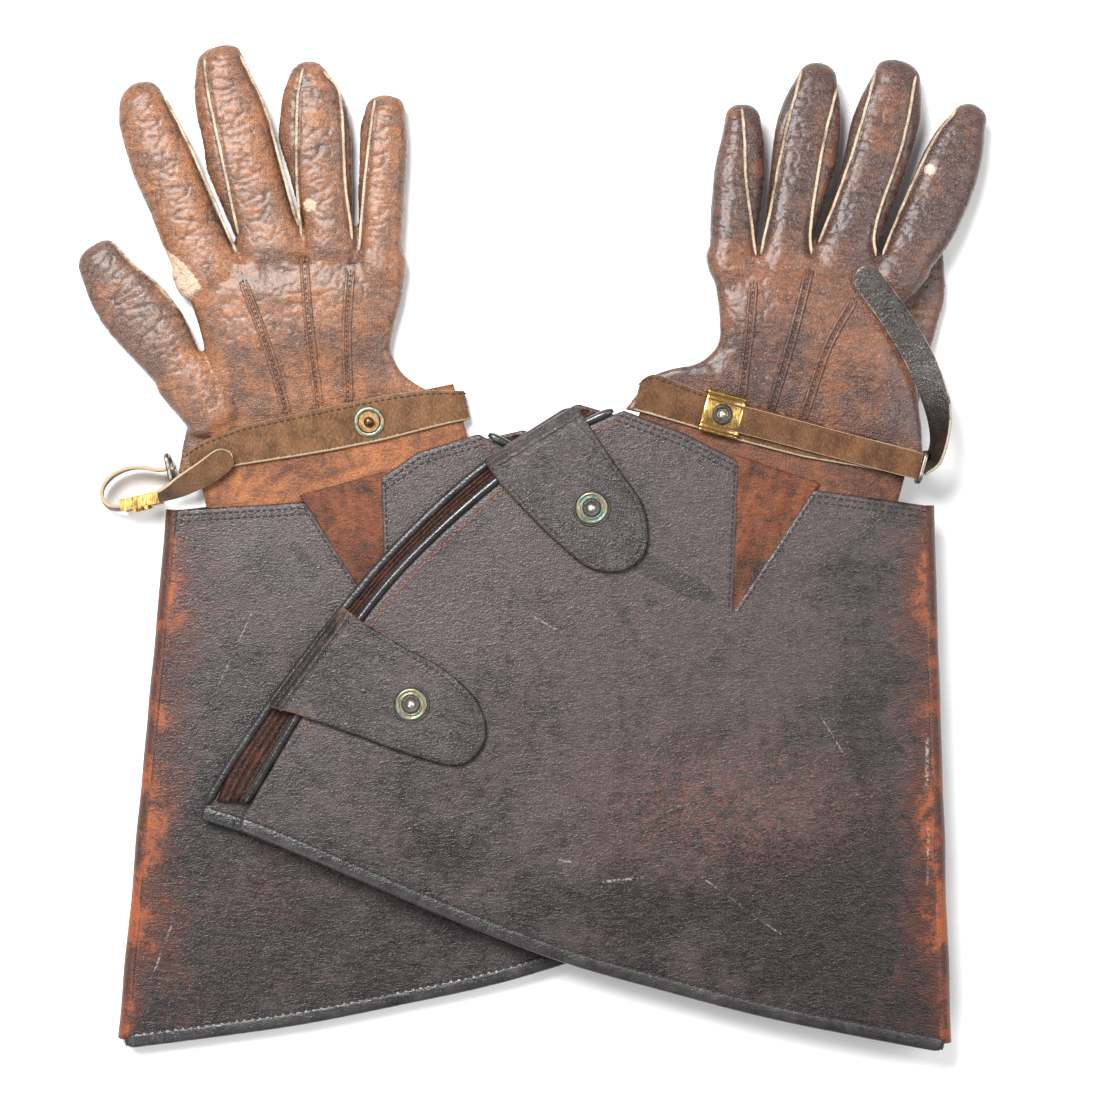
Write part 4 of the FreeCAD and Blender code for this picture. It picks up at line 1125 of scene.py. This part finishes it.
def socket(glove, which):
    """A rolled ring socket with a dark well of painted shade, where the stud's ball shows, and a thin dark ring of
    painted shade round its foot.
    """
    tab = TABS[which]
    middle, way, out = tab_frame(tab)
    spot = middle + tab["snap"][0] * way + tab["snap"][1] * out
    centre = glove.world([(*spot, TAB_TOP)])[0]
    ring = [(4.3, -0.4), (4.2, 0.5), (4.5, 0.95), (5.0, 1.0), (5.3, 0.7), (5.6, 0.55), (5.9, 0.7), (6.2, 0.95),
            (6.8, 0.95), (7.35, 0.6), (7.6, 0.1), (7.5, -0.4)]
    # the well and the rim are near-black sheets of painted shade
    well = [(0.01, 0.05), (3.2, 0.1), (4.4, 0.3), (4.4, -0.5), (0.01, -0.5)]
    rim = [(7.4, -0.5), (7.7, 0.16), (8.4, 0.12), (8.8, -0.3)]
    parts = [lathe(ring, centre, UP, glove.along, 56)]
    piece = merge(glove.name + "_" + which + "_socket", parts, glove.materials["old_brass"])
    finish_piece(glove, piece, which + "_tab", [which + "_tab_socket"])
    piece = merge(glove.name + "_" + which + "_socket_well", [lathe(well, centre, UP, glove.along, 32),
                                                              lathe(rim, centre, UP, glove.along, 48)],
                  glove.materials["hollow"])
    finish_piece(glove, piece, which + "_tab", ())


# ---- Hand --------------------------------------------------------------------------------------

BEND_START, BEND_END, CUT_AT = 4.0, 18.0, -2.0
CAP_DEPTH = 1.4


def tip_share(s, length, run):
    """How full a digit is near its rounded tip."""
    return np.sqrt(np.clip(1 - (np.clip(s - (length - run), 0, None) / run) ** 2, 0, 1))


def digit_shell(digit, start=-22.0, slim=1.15, heights=(7.0, 6.2), power=2.4, inner_gap=0.0,
                full_from=-5.0):
    """A closed tube from inside the palm to the rounded fingertip."""
    s = np.concatenate([np.arange(start, digit.length - 12, 2.0), digit.length - 12 + 12 * np.sin(
        np.linspace(0, math.pi / 2, 12))])
    high, low = digit.edge(digit.high, s), digit.edge(digit.low, s)
    low = low + inner_gap * smoothstep(3, 7, s)
    gap = slim * (2 * smoothstep(0, 7, s) - 1)
    last = max(digit.high[-1][0], digit.low[-1][0])
    full = tip_share(s, digit.length, digit.length - min(last, digit.length - 6))
    height = (heights[0] + (heights[1] - heights[0]) * s / digit.length) * tip_share(s, digit.length, 11)
    root = 1 - smoothstep(start, full_from, s)
    full, height = full * (1 - 0.5 * root), height * (1 - 0.55 * root)
    angles = np.arange(40) * 2 * math.pi / 40
    sx, sz = superellipse(angles, power)
    rings = []
    for i in range(len(s)):
        middle, half = (high[i] + low[i]) / 2, (high[i] - low[i]) / 2 - gap[i]
        half, rise = max(0.3, half * full[i]), max(0.3, height[i])
        rings.append(digit.world(np.full(40, s[i]), middle + half * sx, rise * sz))
    return loft(rings)


def palm_shell(glove):
    """The hand between its two side edges, from under the band to the fingers' roots."""
    count = 44
    thumb = resample(curve(glove.shape["thumb_edge"]), 0.5)
    little = resample(curve(glove.shape["little_edge"]), 0.5)
    thumb = thumb[np.linspace(0, len(thumb) - 1, count).astype(int)]
    little = little[np.linspace(0, len(little) - 1, count).astype(int)]
    angles = np.arange(72) * 2 * math.pi / 72
    sx, sz = superellipse(angles, 2.9)
    rings = []
    for i, t in enumerate(np.linspace(0, 1, count)):
        flat = (thumb[i] + little[i]) / 2 + (thumb[i] - little[i]) / 2 * sx[:, None] * 0.995
        _, v = glove.wrist_uv(flat[:, 0], flat[:, 1])
        height = 2.9 + 1.9 * smoothstep(-4, 6, v) + 2.6 * smoothstep(4, 42, v) - 1.3 * smoothstep(0.84, 1, t)
        centre = CUFF_MID + (HAND_Z - CUFF_MID) * smoothstep(0, 34, v)
        rings.append(glove.world(np.column_stack([flat, centre + height * sz]), hand=True))
    return loft(rings)


def remeshed(name, shells, material, voxel):
    """One skin round several overlapping closed shells."""
    piece = merge(name, shells, material)
    modifier = piece.modifiers.new("skin", "REMESH")
    modifier.mode = "VOXEL"
    modifier.voxel_size = voxel * MM
    modifier.use_smooth_shade = True
    soften = piece.modifiers.new("soften", "SMOOTH")
    soften.factor, soften.iterations = 0.5, 7
    graph = bpy.context.evaluated_depsgraph_get()
    skin = bpy.data.meshes.new_from_object(piece.evaluated_get(graph))
    piece.modifiers.clear()
    piece.data = skin
    return piece


def nearest_digit(glove, points, names):
    """For each point: which digit it lies along (-1 for the palm) and its place in that digit's frame."""
    best = np.full(len(points), 99.0)
    which = np.full(len(points), -1)
    place = np.zeros((len(points), 2))
    for index, name in enumerate(names):
        digit = glove.digits[name]
        s, w, _ = digit.local(points)
        high, low = digit.edge(digit.high, s), digit.edge(digit.low, s)
        spread = np.abs(w - (high + low) / 2) / ((high - low) / 2)
        closer = (s > 3.0) & (spread < 0.97) if name == "thumb" else spread < best
        best[closer], which[closer] = spread[closer], index
        place[closer] = np.column_stack([s, w])[closer]
    which[place[:, 0] < CUT_AT] = -1
    return which, place


def tidy_groups(polygons, groups, rounds=5):
    """Smooth the borders between groups of faces, and give stray islands to their neighbours."""
    owner = {}
    pairs = []
    for face, polygon in enumerate(polygons):
        for i in range(len(polygon)):
            edge = (polygon[i], polygon[(i + 1) % len(polygon)])
            other = owner.pop(edge[::-1], None)
            if other is None:
                owner[edge] = face
            else:
                pairs.append((face, other))
    pairs = np.array(pairs)
    rows = np.arange(len(groups))
    for _ in range(rounds):
        votes = np.zeros((len(groups), groups.max() + 2))
        votes[rows, groups + 1] += 1.5
        np.add.at(votes, (pairs[:, 0], groups[pairs[:, 1]] + 1), 1)
        np.add.at(votes, (pairs[:, 1], groups[pairs[:, 0]] + 1), 1)
        groups = votes.argmax(axis=1) - 1
    around = [[] for _ in polygons]
    for a, b in pairs.tolist():
        around[a].append(b)
        around[b].append(a)
    seen = np.zeros(len(groups), bool)
    for first in range(len(groups)):
        if seen[first]:
            continue
        island, border, label = [first], [], groups[first]
        seen[first] = True
        for face in island:
            for other in around[face]:
                if groups[other] != label:
                    border.append(groups[other])
                elif not seen[other]:
                    seen[other] = True
                    island.append(other)
        if len(island) < 800 and border:
            groups[island] = np.bincount(np.array(border) + 1).argmax() - 1
    return groups


def wrinkle(glove, piece, names):
    """Press folds, finger creases and the wrist's gathers into the skin; keep masks for the material, with painted
    shade in the folds, the seam grooves and the gathers' hollows and down the sides.
    """
    points, outward_way = coordinates(piece), normals(piece)
    mm = points / MM
    which, place = nearest_digit(glove, points, names)
    on_digit = smoothstep(2, 14, place[:, 0]) * (which >= 0)
    seed = 3.0 if glove.name == "left" else 40.0
    across = np.column_stack([place[:, 0] / 5.5, place[:, 1] / 15 + 7 * which, mm[:, 2] / 15 + seed])
    finger_fold = creases(across, 0.12)
    small_fold = creases(mm / 3.0 + seed, 0.14)
    folds = creases(mm / 7.5 + seed, 0.09)
    local = mm - glove.pivot
    u, v = local @ glove.along, local @ glove.hand_reach
    gather = noise(np.column_stack([u / 6.0, v / 34, np.full(len(u), seed)]))
    near_wrist = np.exp(-np.clip(v, 0, None) / 20) * smoothstep(-2, 4, v)
    move = 0.55 * noise(mm / 17 + seed) + 0.14 * noise(mm / 5 + seed)
    move -= on_digit * 0.30 * finger_fold
    move -= (0.26 * folds + 0.17 * small_fold) * smoothstep(0, 10, v)
    move += near_wrist * 1.0 * gather
    level = outward_way @ glove.hand_up
    beside = beside_seams(glove, points) * (level > 0.1)
    move -= 0.25 * beside
    drape = np.where(mm[:, 2] > glove.pivot[2] - 4, 1.0, 0.4)
    set_coordinates(piece, points + outward_way * (move * drape)[:, None] * MM)
    # painted shade in the pressed folds and creases, and in the grooves beside the seams
    crease = np.clip(0.6 * folds + 0.55 * finger_fold * on_digit + 0.4 * small_fold, 0, 1)
    crease = np.maximum(crease, 0.8 * beside)
    # painted shade in the hollows of the wrist's gathers
    gather_shade = np.clip(-gather, 0, 0.6) * near_wrist * 1.6
    tone = 0.22 * noise(mm / 20 + seed) + 0.10 * noise(mm / 7 + seed) - 0.12 * gather_shade
    tone += -0.08 * on_digit if glove.name == "left" else 0.02 * on_digit
    # painted shade: darker where the skin turns away from above, down the sides
    tone -= 0.20 * (1 - np.clip(level, 0, 1)) ** 1.5
    if "thumb" in names:
        tone -= 0.16 * on_digit * (which == names.index("thumb"))
    wear = 0.12 + 0.16 * np.clip(0.5 - np.abs(level), 0, 0.5)
    wear += rubbed_patches(glove, points)
    paint(piece, crease=crease + 0.5 * gather_shade, tone=tone, wear=wear)


def beside_seams(glove, points):
    """Where the groove runs along each raised seam of the fingers, pressed in and darkened as painted shade."""
    mark = np.zeros(len(points))
    for digit in glove.digits.values():
        s, w, _ = digit.local(points)
        for seam in (digit.high_seam, digit.low_seam):
            if seam:
                line = curve(seam, 1.2)
                line = line[np.argsort(line[:, 0])]
                gap = np.abs(w - np.interp(s, line[:, 0], line[:, 1]))
                inside = (s > line[0, 0]) & (s < line[-1, 0])
                mark = np.maximum(mark, np.exp(-((gap - 1.2) / 0.9) ** 2) * inside)
    return mark


def rubbed_patches(glove, points):
    """Where the grain is worn through: the right thumb's torn inner edge, tips and two pale spots."""
    wear = np.zeros(len(points))
    for name, s0, w0, reach in (("ring", 16, 6, 3.6), ("index", 47, -8, 3.4)):
        if (name == "ring") == (glove.name == "right"):
            s, w, z = glove.digits[name].local(points)
            wear += 0.75 * np.exp(-(((s - s0) ** 2 + (w - w0) ** 2) / reach ** 2) ** 2) * (z > 0)
    for name in ("index", "middle", "ring", "little"):
        s, w, _ = glove.digits[name].local(points)
        tip = smoothstep(glove.digits[name].length - 9, glove.digits[name].length, s) * (np.abs(w) < 18)
        wear += 0.16 * tip
    if glove.name == "right":
        digit = glove.digits["thumb"]
        s, w, z = digit.local(points)
        edge = w - digit.edge(digit.low, s)
        torn = smoothstep(24, 32, s) * (1 - smoothstep(70, 76, s)) * (1 - smoothstep(2.4, 6.5, edge))
        wear += 0.85 * torn * (np.abs(edge) < 12)
    return wear


def split_skin(piece, groups, names, material):
    """Cut a skin into closed pieces, keeping its shading across the cuts."""
    points, shading = coordinates(piece), normals(piece)
    layers = {key: read_layer(piece, key) for key in ("crease", "tone", "wear")}
    polygons = [tuple(p.vertices) for p in piece.data.polygons]
    pieces = []
    for group, name in enumerate(names):
        chosen = [polygon for polygon, owner in zip(polygons, groups) if owner == group - 1]
        used = sorted({v for polygon in chosen for v in polygon})
        index = {v: i for i, v in enumerate(used)}
        faces = [tuple(index[v] for v in polygon) for polygon in chosen]
        vertices = [points[v] for v in used]
        edges = {(f[i], f[(i + 1) % len(f)]) for f in faces for i in range(len(f))}
        open_edges = [(a, b) for a, b in edges if (b, a) not in edges]
        for loop in chains(open_edges):
            first, count = len(vertices), len(loop)
            below = [vertices[i] - shading[used[i]] * CAP_DEPTH * MM for i in loop]
            vertices += below + [np.mean(below, axis=0)]
            for i in range(count):
                j = (i + 1) % count
                faces.append((loop[j], loop[i], first + i, first + j))
                faces.append((first + j, first + i, first + count))
        part = mesh_object(name, vertices, faces, material)
        extra = len(vertices) - len(used)
        paint(part, **{key: np.concatenate([layer[used], np.zeros(extra)]) for key, layer in layers.items()})
        way = [tuple(shading[v]) for v in used] + [(0, 0, 0)] * extra
        part.data.normals_split_custom_set_from_vertices(way)
        pieces.append(part)
    bpy.data.objects.remove(piece)
    return pieces


def read_layer(piece, key):
    out = np.empty(len(piece.data.vertices), np.float32)
    piece.data.attributes[key].data.foreach_get("value", out)
    return out


def chains(edges):
    """Closed runs of vertices from directed edges."""
    after = {}
    for a, b in edges:
        after.setdefault(a, []).append(b)
    loops = []
    while after:
        start = next(iter(after))
        loop, here = [start], after[start].pop()
        if not after[start]:
            del after[start]
        while here != start:
            loop.append(here)
            following = after[here].pop()
            if not after[here]:
                del after[here]
            here = following
        loops.append(loop)
    return loops


def hand(glove):
    """Palm and digits under one skin, then cut at the knuckles into separate pieces."""
    names = ["index", "middle", "ring", "little"]
    shells = [palm_shell(glove)] + [digit_shell(glove.digits[name]) for name in names]
    if glove.name == "right":
        names.append("thumb")
        shells.append(digit_shell(glove.digits["thumb"], start=-32, heights=(6.2, 5.4),
                                  inner_gap=1.6, full_from=-24))
    skin = remeshed(glove.name + "_skin", shells, glove.materials["hand"], 0.85)
    wrinkle(glove, skin, names)
    glove.skin = BVHTree.FromPolygons([tuple(p) for p in coordinates(skin)],
                                      [tuple(p.vertices) for p in skin.data.polygons])
    vertices = coordinates(skin)
    centres = np.array([vertices[list(p.vertices)].mean(axis=0) for p in skin.data.polygons])
    groups, _ = nearest_digit(glove, centres, names)
    groups = tidy_groups([tuple(p.vertices) for p in skin.data.polygons], groups)
    labels = [glove.name + "_palm_leather"] + [glove.name + "_" + name + "_leather" for name in names]
    pieces = split_skin(skin, groups, labels, glove.materials["hand"])
    bend_wrist(pieces[0])
    wrap_up(glove, ["hand_back", "hand_palm"])
    for name, piece in zip(names, pieces[1:]):
        bend_digit(piece)
        nodes = ["thumb"] if name == "thumb" else [name + "_stall", name + "_fourchette"]
        wrap_up(glove, nodes)
    if glove.name == "left":
        tucked_thumb(glove)


def bend_wrist(piece):
    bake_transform(piece)


def bend_digit(piece):
    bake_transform(piece)


def tucked_thumb(glove):
    """The left thumb, lying under the palm and the index finger."""
    digit = glove.digits["thumb"]
    shell = digit_shell(digit, start=-24, slim=0.0, heights=(4.7, 4.0))
    piece = remeshed(glove.name + "_thumb_leather", [shell], glove.materials["hand"], 1.1)
    points, way = coordinates(piece), normals(piece)
    mm = points / MM
    s, w, _ = digit.local(points)
    folds = creases(np.column_stack([s / 5, w / 13, mm[:, 2] / 12]), 0.2)
    set_coordinates(piece, points + way * (0.5 * noise(mm / 13) - 0.3 * folds)[:, None] * MM)
    # painted shade in the pressed folds
    paint(piece, crease=0.8 * folds, tone=0.1 * noise(mm / 20) - 0.04, wear=0.1)
    bend_digit(piece)
    wrap_up(glove, ["thumb"])


def on_skin(glove, points, up):
    """Drop points straight onto the hand's skin."""
    landed = []
    for point in points:
        hit, _, _, _ = glove.skin.ray_cast(Vector(point + up * 0.03), Vector(-up))
        landed.append(np.array(hit) if hit else point)
    landed = np.array(landed)
    height = landed @ up
    kernel = np.array([1, 3, 4, 3, 1]) / 12
    smooth = np.convolve(np.pad(height, 2, mode="edge"), kernel, mode="valid")
    return landed + (smooth - height)[:, None] * up


def seams(glove):
    """Raised cut edges down the fingers' backs, where the side strips are sewn in."""
    for name, digit in glove.digits.items():
        parts = []
        for line in (digit.high_seam, digit.low_seam):
            if not line:
                continue
            line = curve(line, 1.2)
            wobble = 0.3 * noise(np.column_stack([line[:, 0] / 7, line[:, 1] / 7, np.full(len(line), 3.0)]))
            path = digit.world(line[:, 0], line[:, 1] + wobble, 8.0)
            path = on_skin(glove, path, digit.up) + digit.up * 0.25 * MM
            section = round_section(0.72 * MM, 0.80 * MM, 8, 2.4)
            parts.append(swept(path, section, digit.up, taper=3))
        if not parts:
            continue
        piece = merge(glove.name + "_" + name + "_seams", parts, glove.materials["seam"])
        points = coordinates(piece) / MM
        paint(piece, wear=0.3 + 0.6 * noise(points / 6), tone=0.25 * noise(points / 9) + 0.05)
        bend_digit(piece)
        wrap_up(glove, ())


def points_lines(glove):
    """Three double rows of raised stitching on the back of the hand."""
    cords, rows = [], []
    for line in glove.shape["points"]:
        line = curve(line, 1.5)
        for aside in (-1.5, 1.5):
            flat = offset(line, aside)
            start = glove.world(np.column_stack([flat, np.full(len(flat), HAND_Z + 8)]), hand=True)
            path = on_skin(glove, start, glove.hand_up) + glove.hand_up * 0.10 * MM
            cords.append(swept(path, round_section(0.85 * MM, 0.62 * MM, 8), glove.hand_up, taper=3))
        start = glove.world(np.column_stack([line, np.full(len(line), HAND_Z + 8)]), hand=True)
        path = on_skin(glove, start, glove.hand_up) / MM
        rows += stitches(path + glove.hand_up * 0.12, 2.3, 1.5, 0.3, 0.3)
    piece = merge(glove.name + "_points", cords, glove.materials["hand"])
    paint(piece, tone=-0.06, crease=0.15)
    bend_wrist(piece)
    wrap_up(glove, ())
    rows = [(np.array(vertices) * MM, faces) for vertices, faces in rows]
    piece = merge(glove.name + "_points_stitching", rows, glove.materials["dark_thread"])
    bend_wrist(piece)


# ---- Straps and hardware -----------------------------------------------------------------------

def ribbon(stations, width, thickness, round_end=0):
    """A strap through rows (x, y, z, edge-on angle); returns its shell and how near each point is to an edge."""
    fine = curve(stations, 1.6)
    way = np.gradient(fine[:, :3], axis=0)
    way[:, 2] = 0
    way /= np.linalg.norm(way, axis=1)[:, None]
    across = on_plane(way[:, 1], -way[:, 0])
    twist = np.radians(fine[:, 3])[:, None]
    wide = across * np.cos(twist) + UP * np.sin(twist)
    thick = UP * np.cos(twist) - across * np.sin(twist)
    angles = np.arange(28) * 2 * math.pi / 28
    sx, sz = superellipse(angles, 7.0)
    rings, edge = [], []
    last = len(fine) - 1
    for i in range(len(fine)):
        share = 1.0
        run = (last - i) * 1.6
        if round_end and run < round_end:
            share = max(0.12, math.sqrt(max(0, 1 - (1 - run / round_end) ** 2)))
        half = width / 2 * share
        rings.append(fine[i, :3] + wide[i] * (sx * half)[:, None] + thick[i] * (sz * thickness / 2)[:, None])
        edge.append(smoothstep(half - 0.5, half - 0.1, np.abs(sx) * half) + (0.8 if share < 0.3 else 0))
    edge = np.append(np.array(edge).ravel(), [0.5, 0.5])
    return loft(rings), edge


def strap_piece(glove, name, stations, width, material, body, nodes, round_end=0, thickness=1.7,
                edge_wear=0.8):
    shell, edge = ribbon(stations, width, thickness, round_end)
    piece = local_piece(glove, name, [shell], material, body, nodes)
    points = coordinates(piece) / MM
    # painted shade in creases away from the edges
    paint(piece, wear=edge_wear * edge + 0.1 * noise(points / 9), tone=0.1 * noise(points / 14),
          crease=0.7 * creases(points / 5, 0.12) * (edge < 0.3))
    return piece


def left_straps(glove):
    ring_x, ring_y = glove.shape["ring"]
    slide_x, slide_y = glove.shape["slide"]
    way = unit(np.array([ring_x - slide_x, ring_y - slide_y]))
    start = np.array([slide_x, slide_y]) + way * 4.0
    end = np.array([ring_x, ring_y]) + way * 0.5
    stations = [(*(start + (end - start) * t), STRAP_Z - 0.1 + 0.5 * math.sin(t * 9), 0) for t in
                np.linspace(0, 1, 6)]
    strap_piece(glove, "strap_run", stations, 12.4, "suede", "strap", ["strap"])
    stations = [
        (ring_x - 1.0, ring_y + 1.5, STRAP_Z + 0.6, 30), (ring_x + 4.5, ring_y + 3.5, STRAP_Z + 2.0, 60),
        (ring_x + 7.4, 15, STRAP_Z + 2.6, 62), (73.8, 27, STRAP_Z + 3.2, 42), (70.6, 39, STRAP_Z + 3.0, 22),
        (64.5, 54, STRAP_Z + 1.5, 6), (54.5, 71, STRAP_Z + 0.9, 0), (41.5, 89, STRAP_Z + 0.1, 0),
        (37.6, 94, STRAP_Z - 0.2, 0),
    ]
    strap_piece(glove, "strap_end", stations, 13.2, "tail", "strap_tail", ["strap_tail"],
                round_end=6.5, thickness=1.9)


def right_straps(glove):
    ring_x, ring_y = glove.shape["ring"]
    loop_z = 10.2
    stations = [
        (ring_x - 2.0, ring_y + 1.0, 10.4, 86), (ring_x + 5.5, ring_y - 0.5, loop_z, 90),
        (ring_x + 12, ring_y + 0.2, loop_z, 90), (ring_x + 19, ring_y - 0.6, loop_z, 90),
        (ring_x + 26, ring_y - 4.2, loop_z, 90), (ring_x + 30.2, ring_y - 9.5, loop_z, 86),
        (ring_x + 30.6, ring_y - 14.6, loop_z, 82), (ring_x + 27, ring_y - 18.8, loop_z, 82),
        (ring_x + 18, ring_y - 18.6, loop_z + 0.4, 82), (ring_x + 7, ring_y - 14.0, 11.2, 76),
        (ring_x - 1.0, ring_y - 10.4, 13.0, 60), (ring_x - 7.5, ring_y - 6.5, 14.0, 42),
        (ring_x - 16, ring_y - 1.0, 14.6, 26), (ring_x - 24, ring_y + 5.5, 14.8, 20),
        (ring_x - 28, ring_y + 9.5, 14.8, 20),
    ]
    strap_piece(glove, "strap_loop", stations, 12.0, "suede", "strap", ["strap"],
                round_end=6.0, thickness=1.8)


def slide_buckle(glove):
    """The fastened slide: a stamped plate with rolled end rails, a bowed middle and the stud's dark socket."""
    x, y = glove.shape["slide"]
    ring_x, ring_y = glove.shape["ring"]
    way = unit(np.array([ring_x - x, ring_y - y]))
    side = np.array([-way[1], way[0]])
    base = STRAP_Z - SLIDE_THICK / 2
    q = np.linspace(-SLIDE_WIDE / 2, SLIDE_WIDE / 2, 81)
    rails = 1.3 * np.exp(-((np.abs(q) - SLIDE_WIDE / 2 + 1.0) / 0.8) ** 2)
    slots = np.exp(-((np.abs(q) - 6.7) / 1.1) ** 4)
    top = base + SLIDE_THICK + rails + 0.9 * np.clip(1 - (q / 5.6) ** 2, 0, None)
    along = np.array([-1.0, -0.985, -0.95, -0.88, -0.80, -0.4, 0, 0.4, 0.80, 0.88, 0.95, 0.985, 1.0])
    drop = np.array([0.65, 0.35, 0.12, 0, 0, 0, 0, 0, 0, 0, 0.12, 0.35, 0.65])
    rings, dark = [], []
    for a, down in zip(along, drop):
        flat = np.array([x, y]) + q[:, None] * side + a * SLIDE_LONG / 2 * way
        groove = slots * (abs(a) < 0.85)
        upper = np.column_stack([flat, top - down - 0.7 * groove])
        lower = np.column_stack([flat, top - SLIDE_THICK * 0.9 - 0.1 * groove])[::-1]
        rings.append(np.vstack([upper, lower]))
        dark += [groove, groove[::-1]]
    dark = np.append(np.concatenate(dark), [0, 0])
    piece = local_piece(glove, "slide_plate", [loft(rings)], "brass", "strap", ["slide_buckle"])
    # painted shade in the slots: the slot mask rides on the wear attribute and turns the brass to its dark patina
    # there
    paint(piece, wear=0.25 * noise(coordinates(piece) / MM / 4) + dark)
    height = base + SLIDE_THICK + 0.75
    centre = glove.world([(x, y, height)])[0]
    profile = [(2.4, -1.2), (2.5, 0.15), (3.0, 0.6), (3.8, 0.75), (4.6, 0.45), (4.9, -0.3), (4.9, -1.2)]
    rim = merge(glove.name + "_slide_socket", [lathe(profile, centre, UP, glove.along, 40)],
                glove.materials["hollow"])
    finish_piece(glove, rim, "strap", ())


def metal_fittings(glove):
    """Materials for the metal parts that keep their CAD shape, and the stud's seat on the right band."""
    kept = [("press_studs", "stud"), ("keeper_ring", "steel")]
    if glove.name == "left":
        slide_buckle(glove)
    else:
        kept.append(("slide_buckle", "brass"))
    for node, material in kept:
        piece = frame["nodes"][glove.name + "_" + node]
        piece.data.materials.clear()
        piece.data.materials.append(glove.materials[material])
    if glove.name == "right":
        x, y = glove.shape["slide"]
        centre = glove.world([(x, y, 10.75)])[0]
        seat = [(5.0, -0.3), (5.0, 0.35), (5.6, 0.6), (6.6, 0.6), (7.3, 0.2), (7.4, -0.3)]
        piece = merge("right_stud_seat", [lathe(seat, centre, UP, glove.along, 48)],
                      glove.materials["old_brass"])
        finish_piece(glove, piece, None, ())


# ---- Floor, light and camera -------------------------------------------------------------------

FLOOR_HALF_SIDE, FLOOR_Z = 3.0, -0.0003        # metres
SKY_STRENGTH = 0.30
LAMPS = [  # name, place in metres, width in metres, watts
    ("key", (-0.45, 0.70, 1.45), 0.8, 46), ("fill", (0.95, 0.1, 1.3), 1.0, 12), ("low", (-0.9, -0.8, 1.2), 1.0, 9),
]


def stage():
    mesh = bpy.data.meshes.new("floor")
    half = FLOOR_HALF_SIDE
    mesh.from_pydata([(-half, -half, 0), (half, -half, 0), (half, half, 0), (-half, half, 0)], [], [(0, 1, 2, 3)])
    floor = bpy.data.objects.new("floor", mesh)
    bpy.context.collection.objects.link(floor)
    floor.location.z = FLOOR_Z
    material = bpy.data.materials.new("floor")
    material.use_nodes = True
    shader = material.node_tree.nodes["Principled BSDF"]
    shader.inputs["Base Color"].default_value = (0.93, 0.93, 0.93, 1)
    shader.inputs["Roughness"].default_value = 0.9
    mesh.materials.append(material)

    world = bpy.data.worlds.new("studio")
    bpy.context.scene.world = world
    world.use_nodes = True
    world.node_tree.nodes["Background"].inputs[0].default_value = (1.0, 1.0, 1.0, 1)
    world.node_tree.nodes["Background"].inputs[1].default_value = SKY_STRENGTH

    for name, place, size, power in LAMPS:
        lamp(name, place, size, power)
    bpy.context.scene.view_settings.view_transform = "Standard"

    camera = bpy.data.cameras.new("camera")
    camera.lens, camera.sensor_width = 100, 36
    view = bpy.data.objects.new("camera", camera)
    bpy.context.collection.objects.link(view)
    low, high = (np.array(corner) for corner in cad_box)
    middle = (low + high) / 2
    seen = 1.086 * (high - low).max()
    view.location = (middle[0] + 0.0076, middle[1] - 0.0025, seen * camera.lens / camera.sensor_width + 0.02)
    bpy.context.scene.camera = view


def lamp(name, place, size, power):
    light = bpy.data.lights.new(name, "AREA")
    light.shape = "DISK"
    light.size, light.energy = size, power
    item = bpy.data.objects.new(name, light)
    bpy.context.collection.objects.link(item)
    item.location = place
    item.rotation_euler = (Vector((0, 0, 0)) - Vector(place)).to_track_quat("-Z", "Y").to_euler()


# ---- The pair ----------------------------------------------------------------------------------

for glove_name in ("right", "left"):
    glove = Glove(glove_name)
    glove.materials = make_materials(glove)
    back_panel(glove)
    front_panel(glove)
    fold_strip(glove)
    cuff_stitching(glove)
    hem_binding(glove)
    opening_edges(glove)
    bellows(glove)
    wrist_gusset(glove)
    wrist_sleeve(glove)
    wrist_band(glove)
    for tab_name in TABS:
        tab_piece(glove, tab_name)
        socket(glove, tab_name)
    hand(glove)
    seams(glove)
    points_lines(glove)
    if glove_name == "left":
        left_straps(glove)
    else:
        right_straps(glove)
    metal_fittings(glove)
stage()
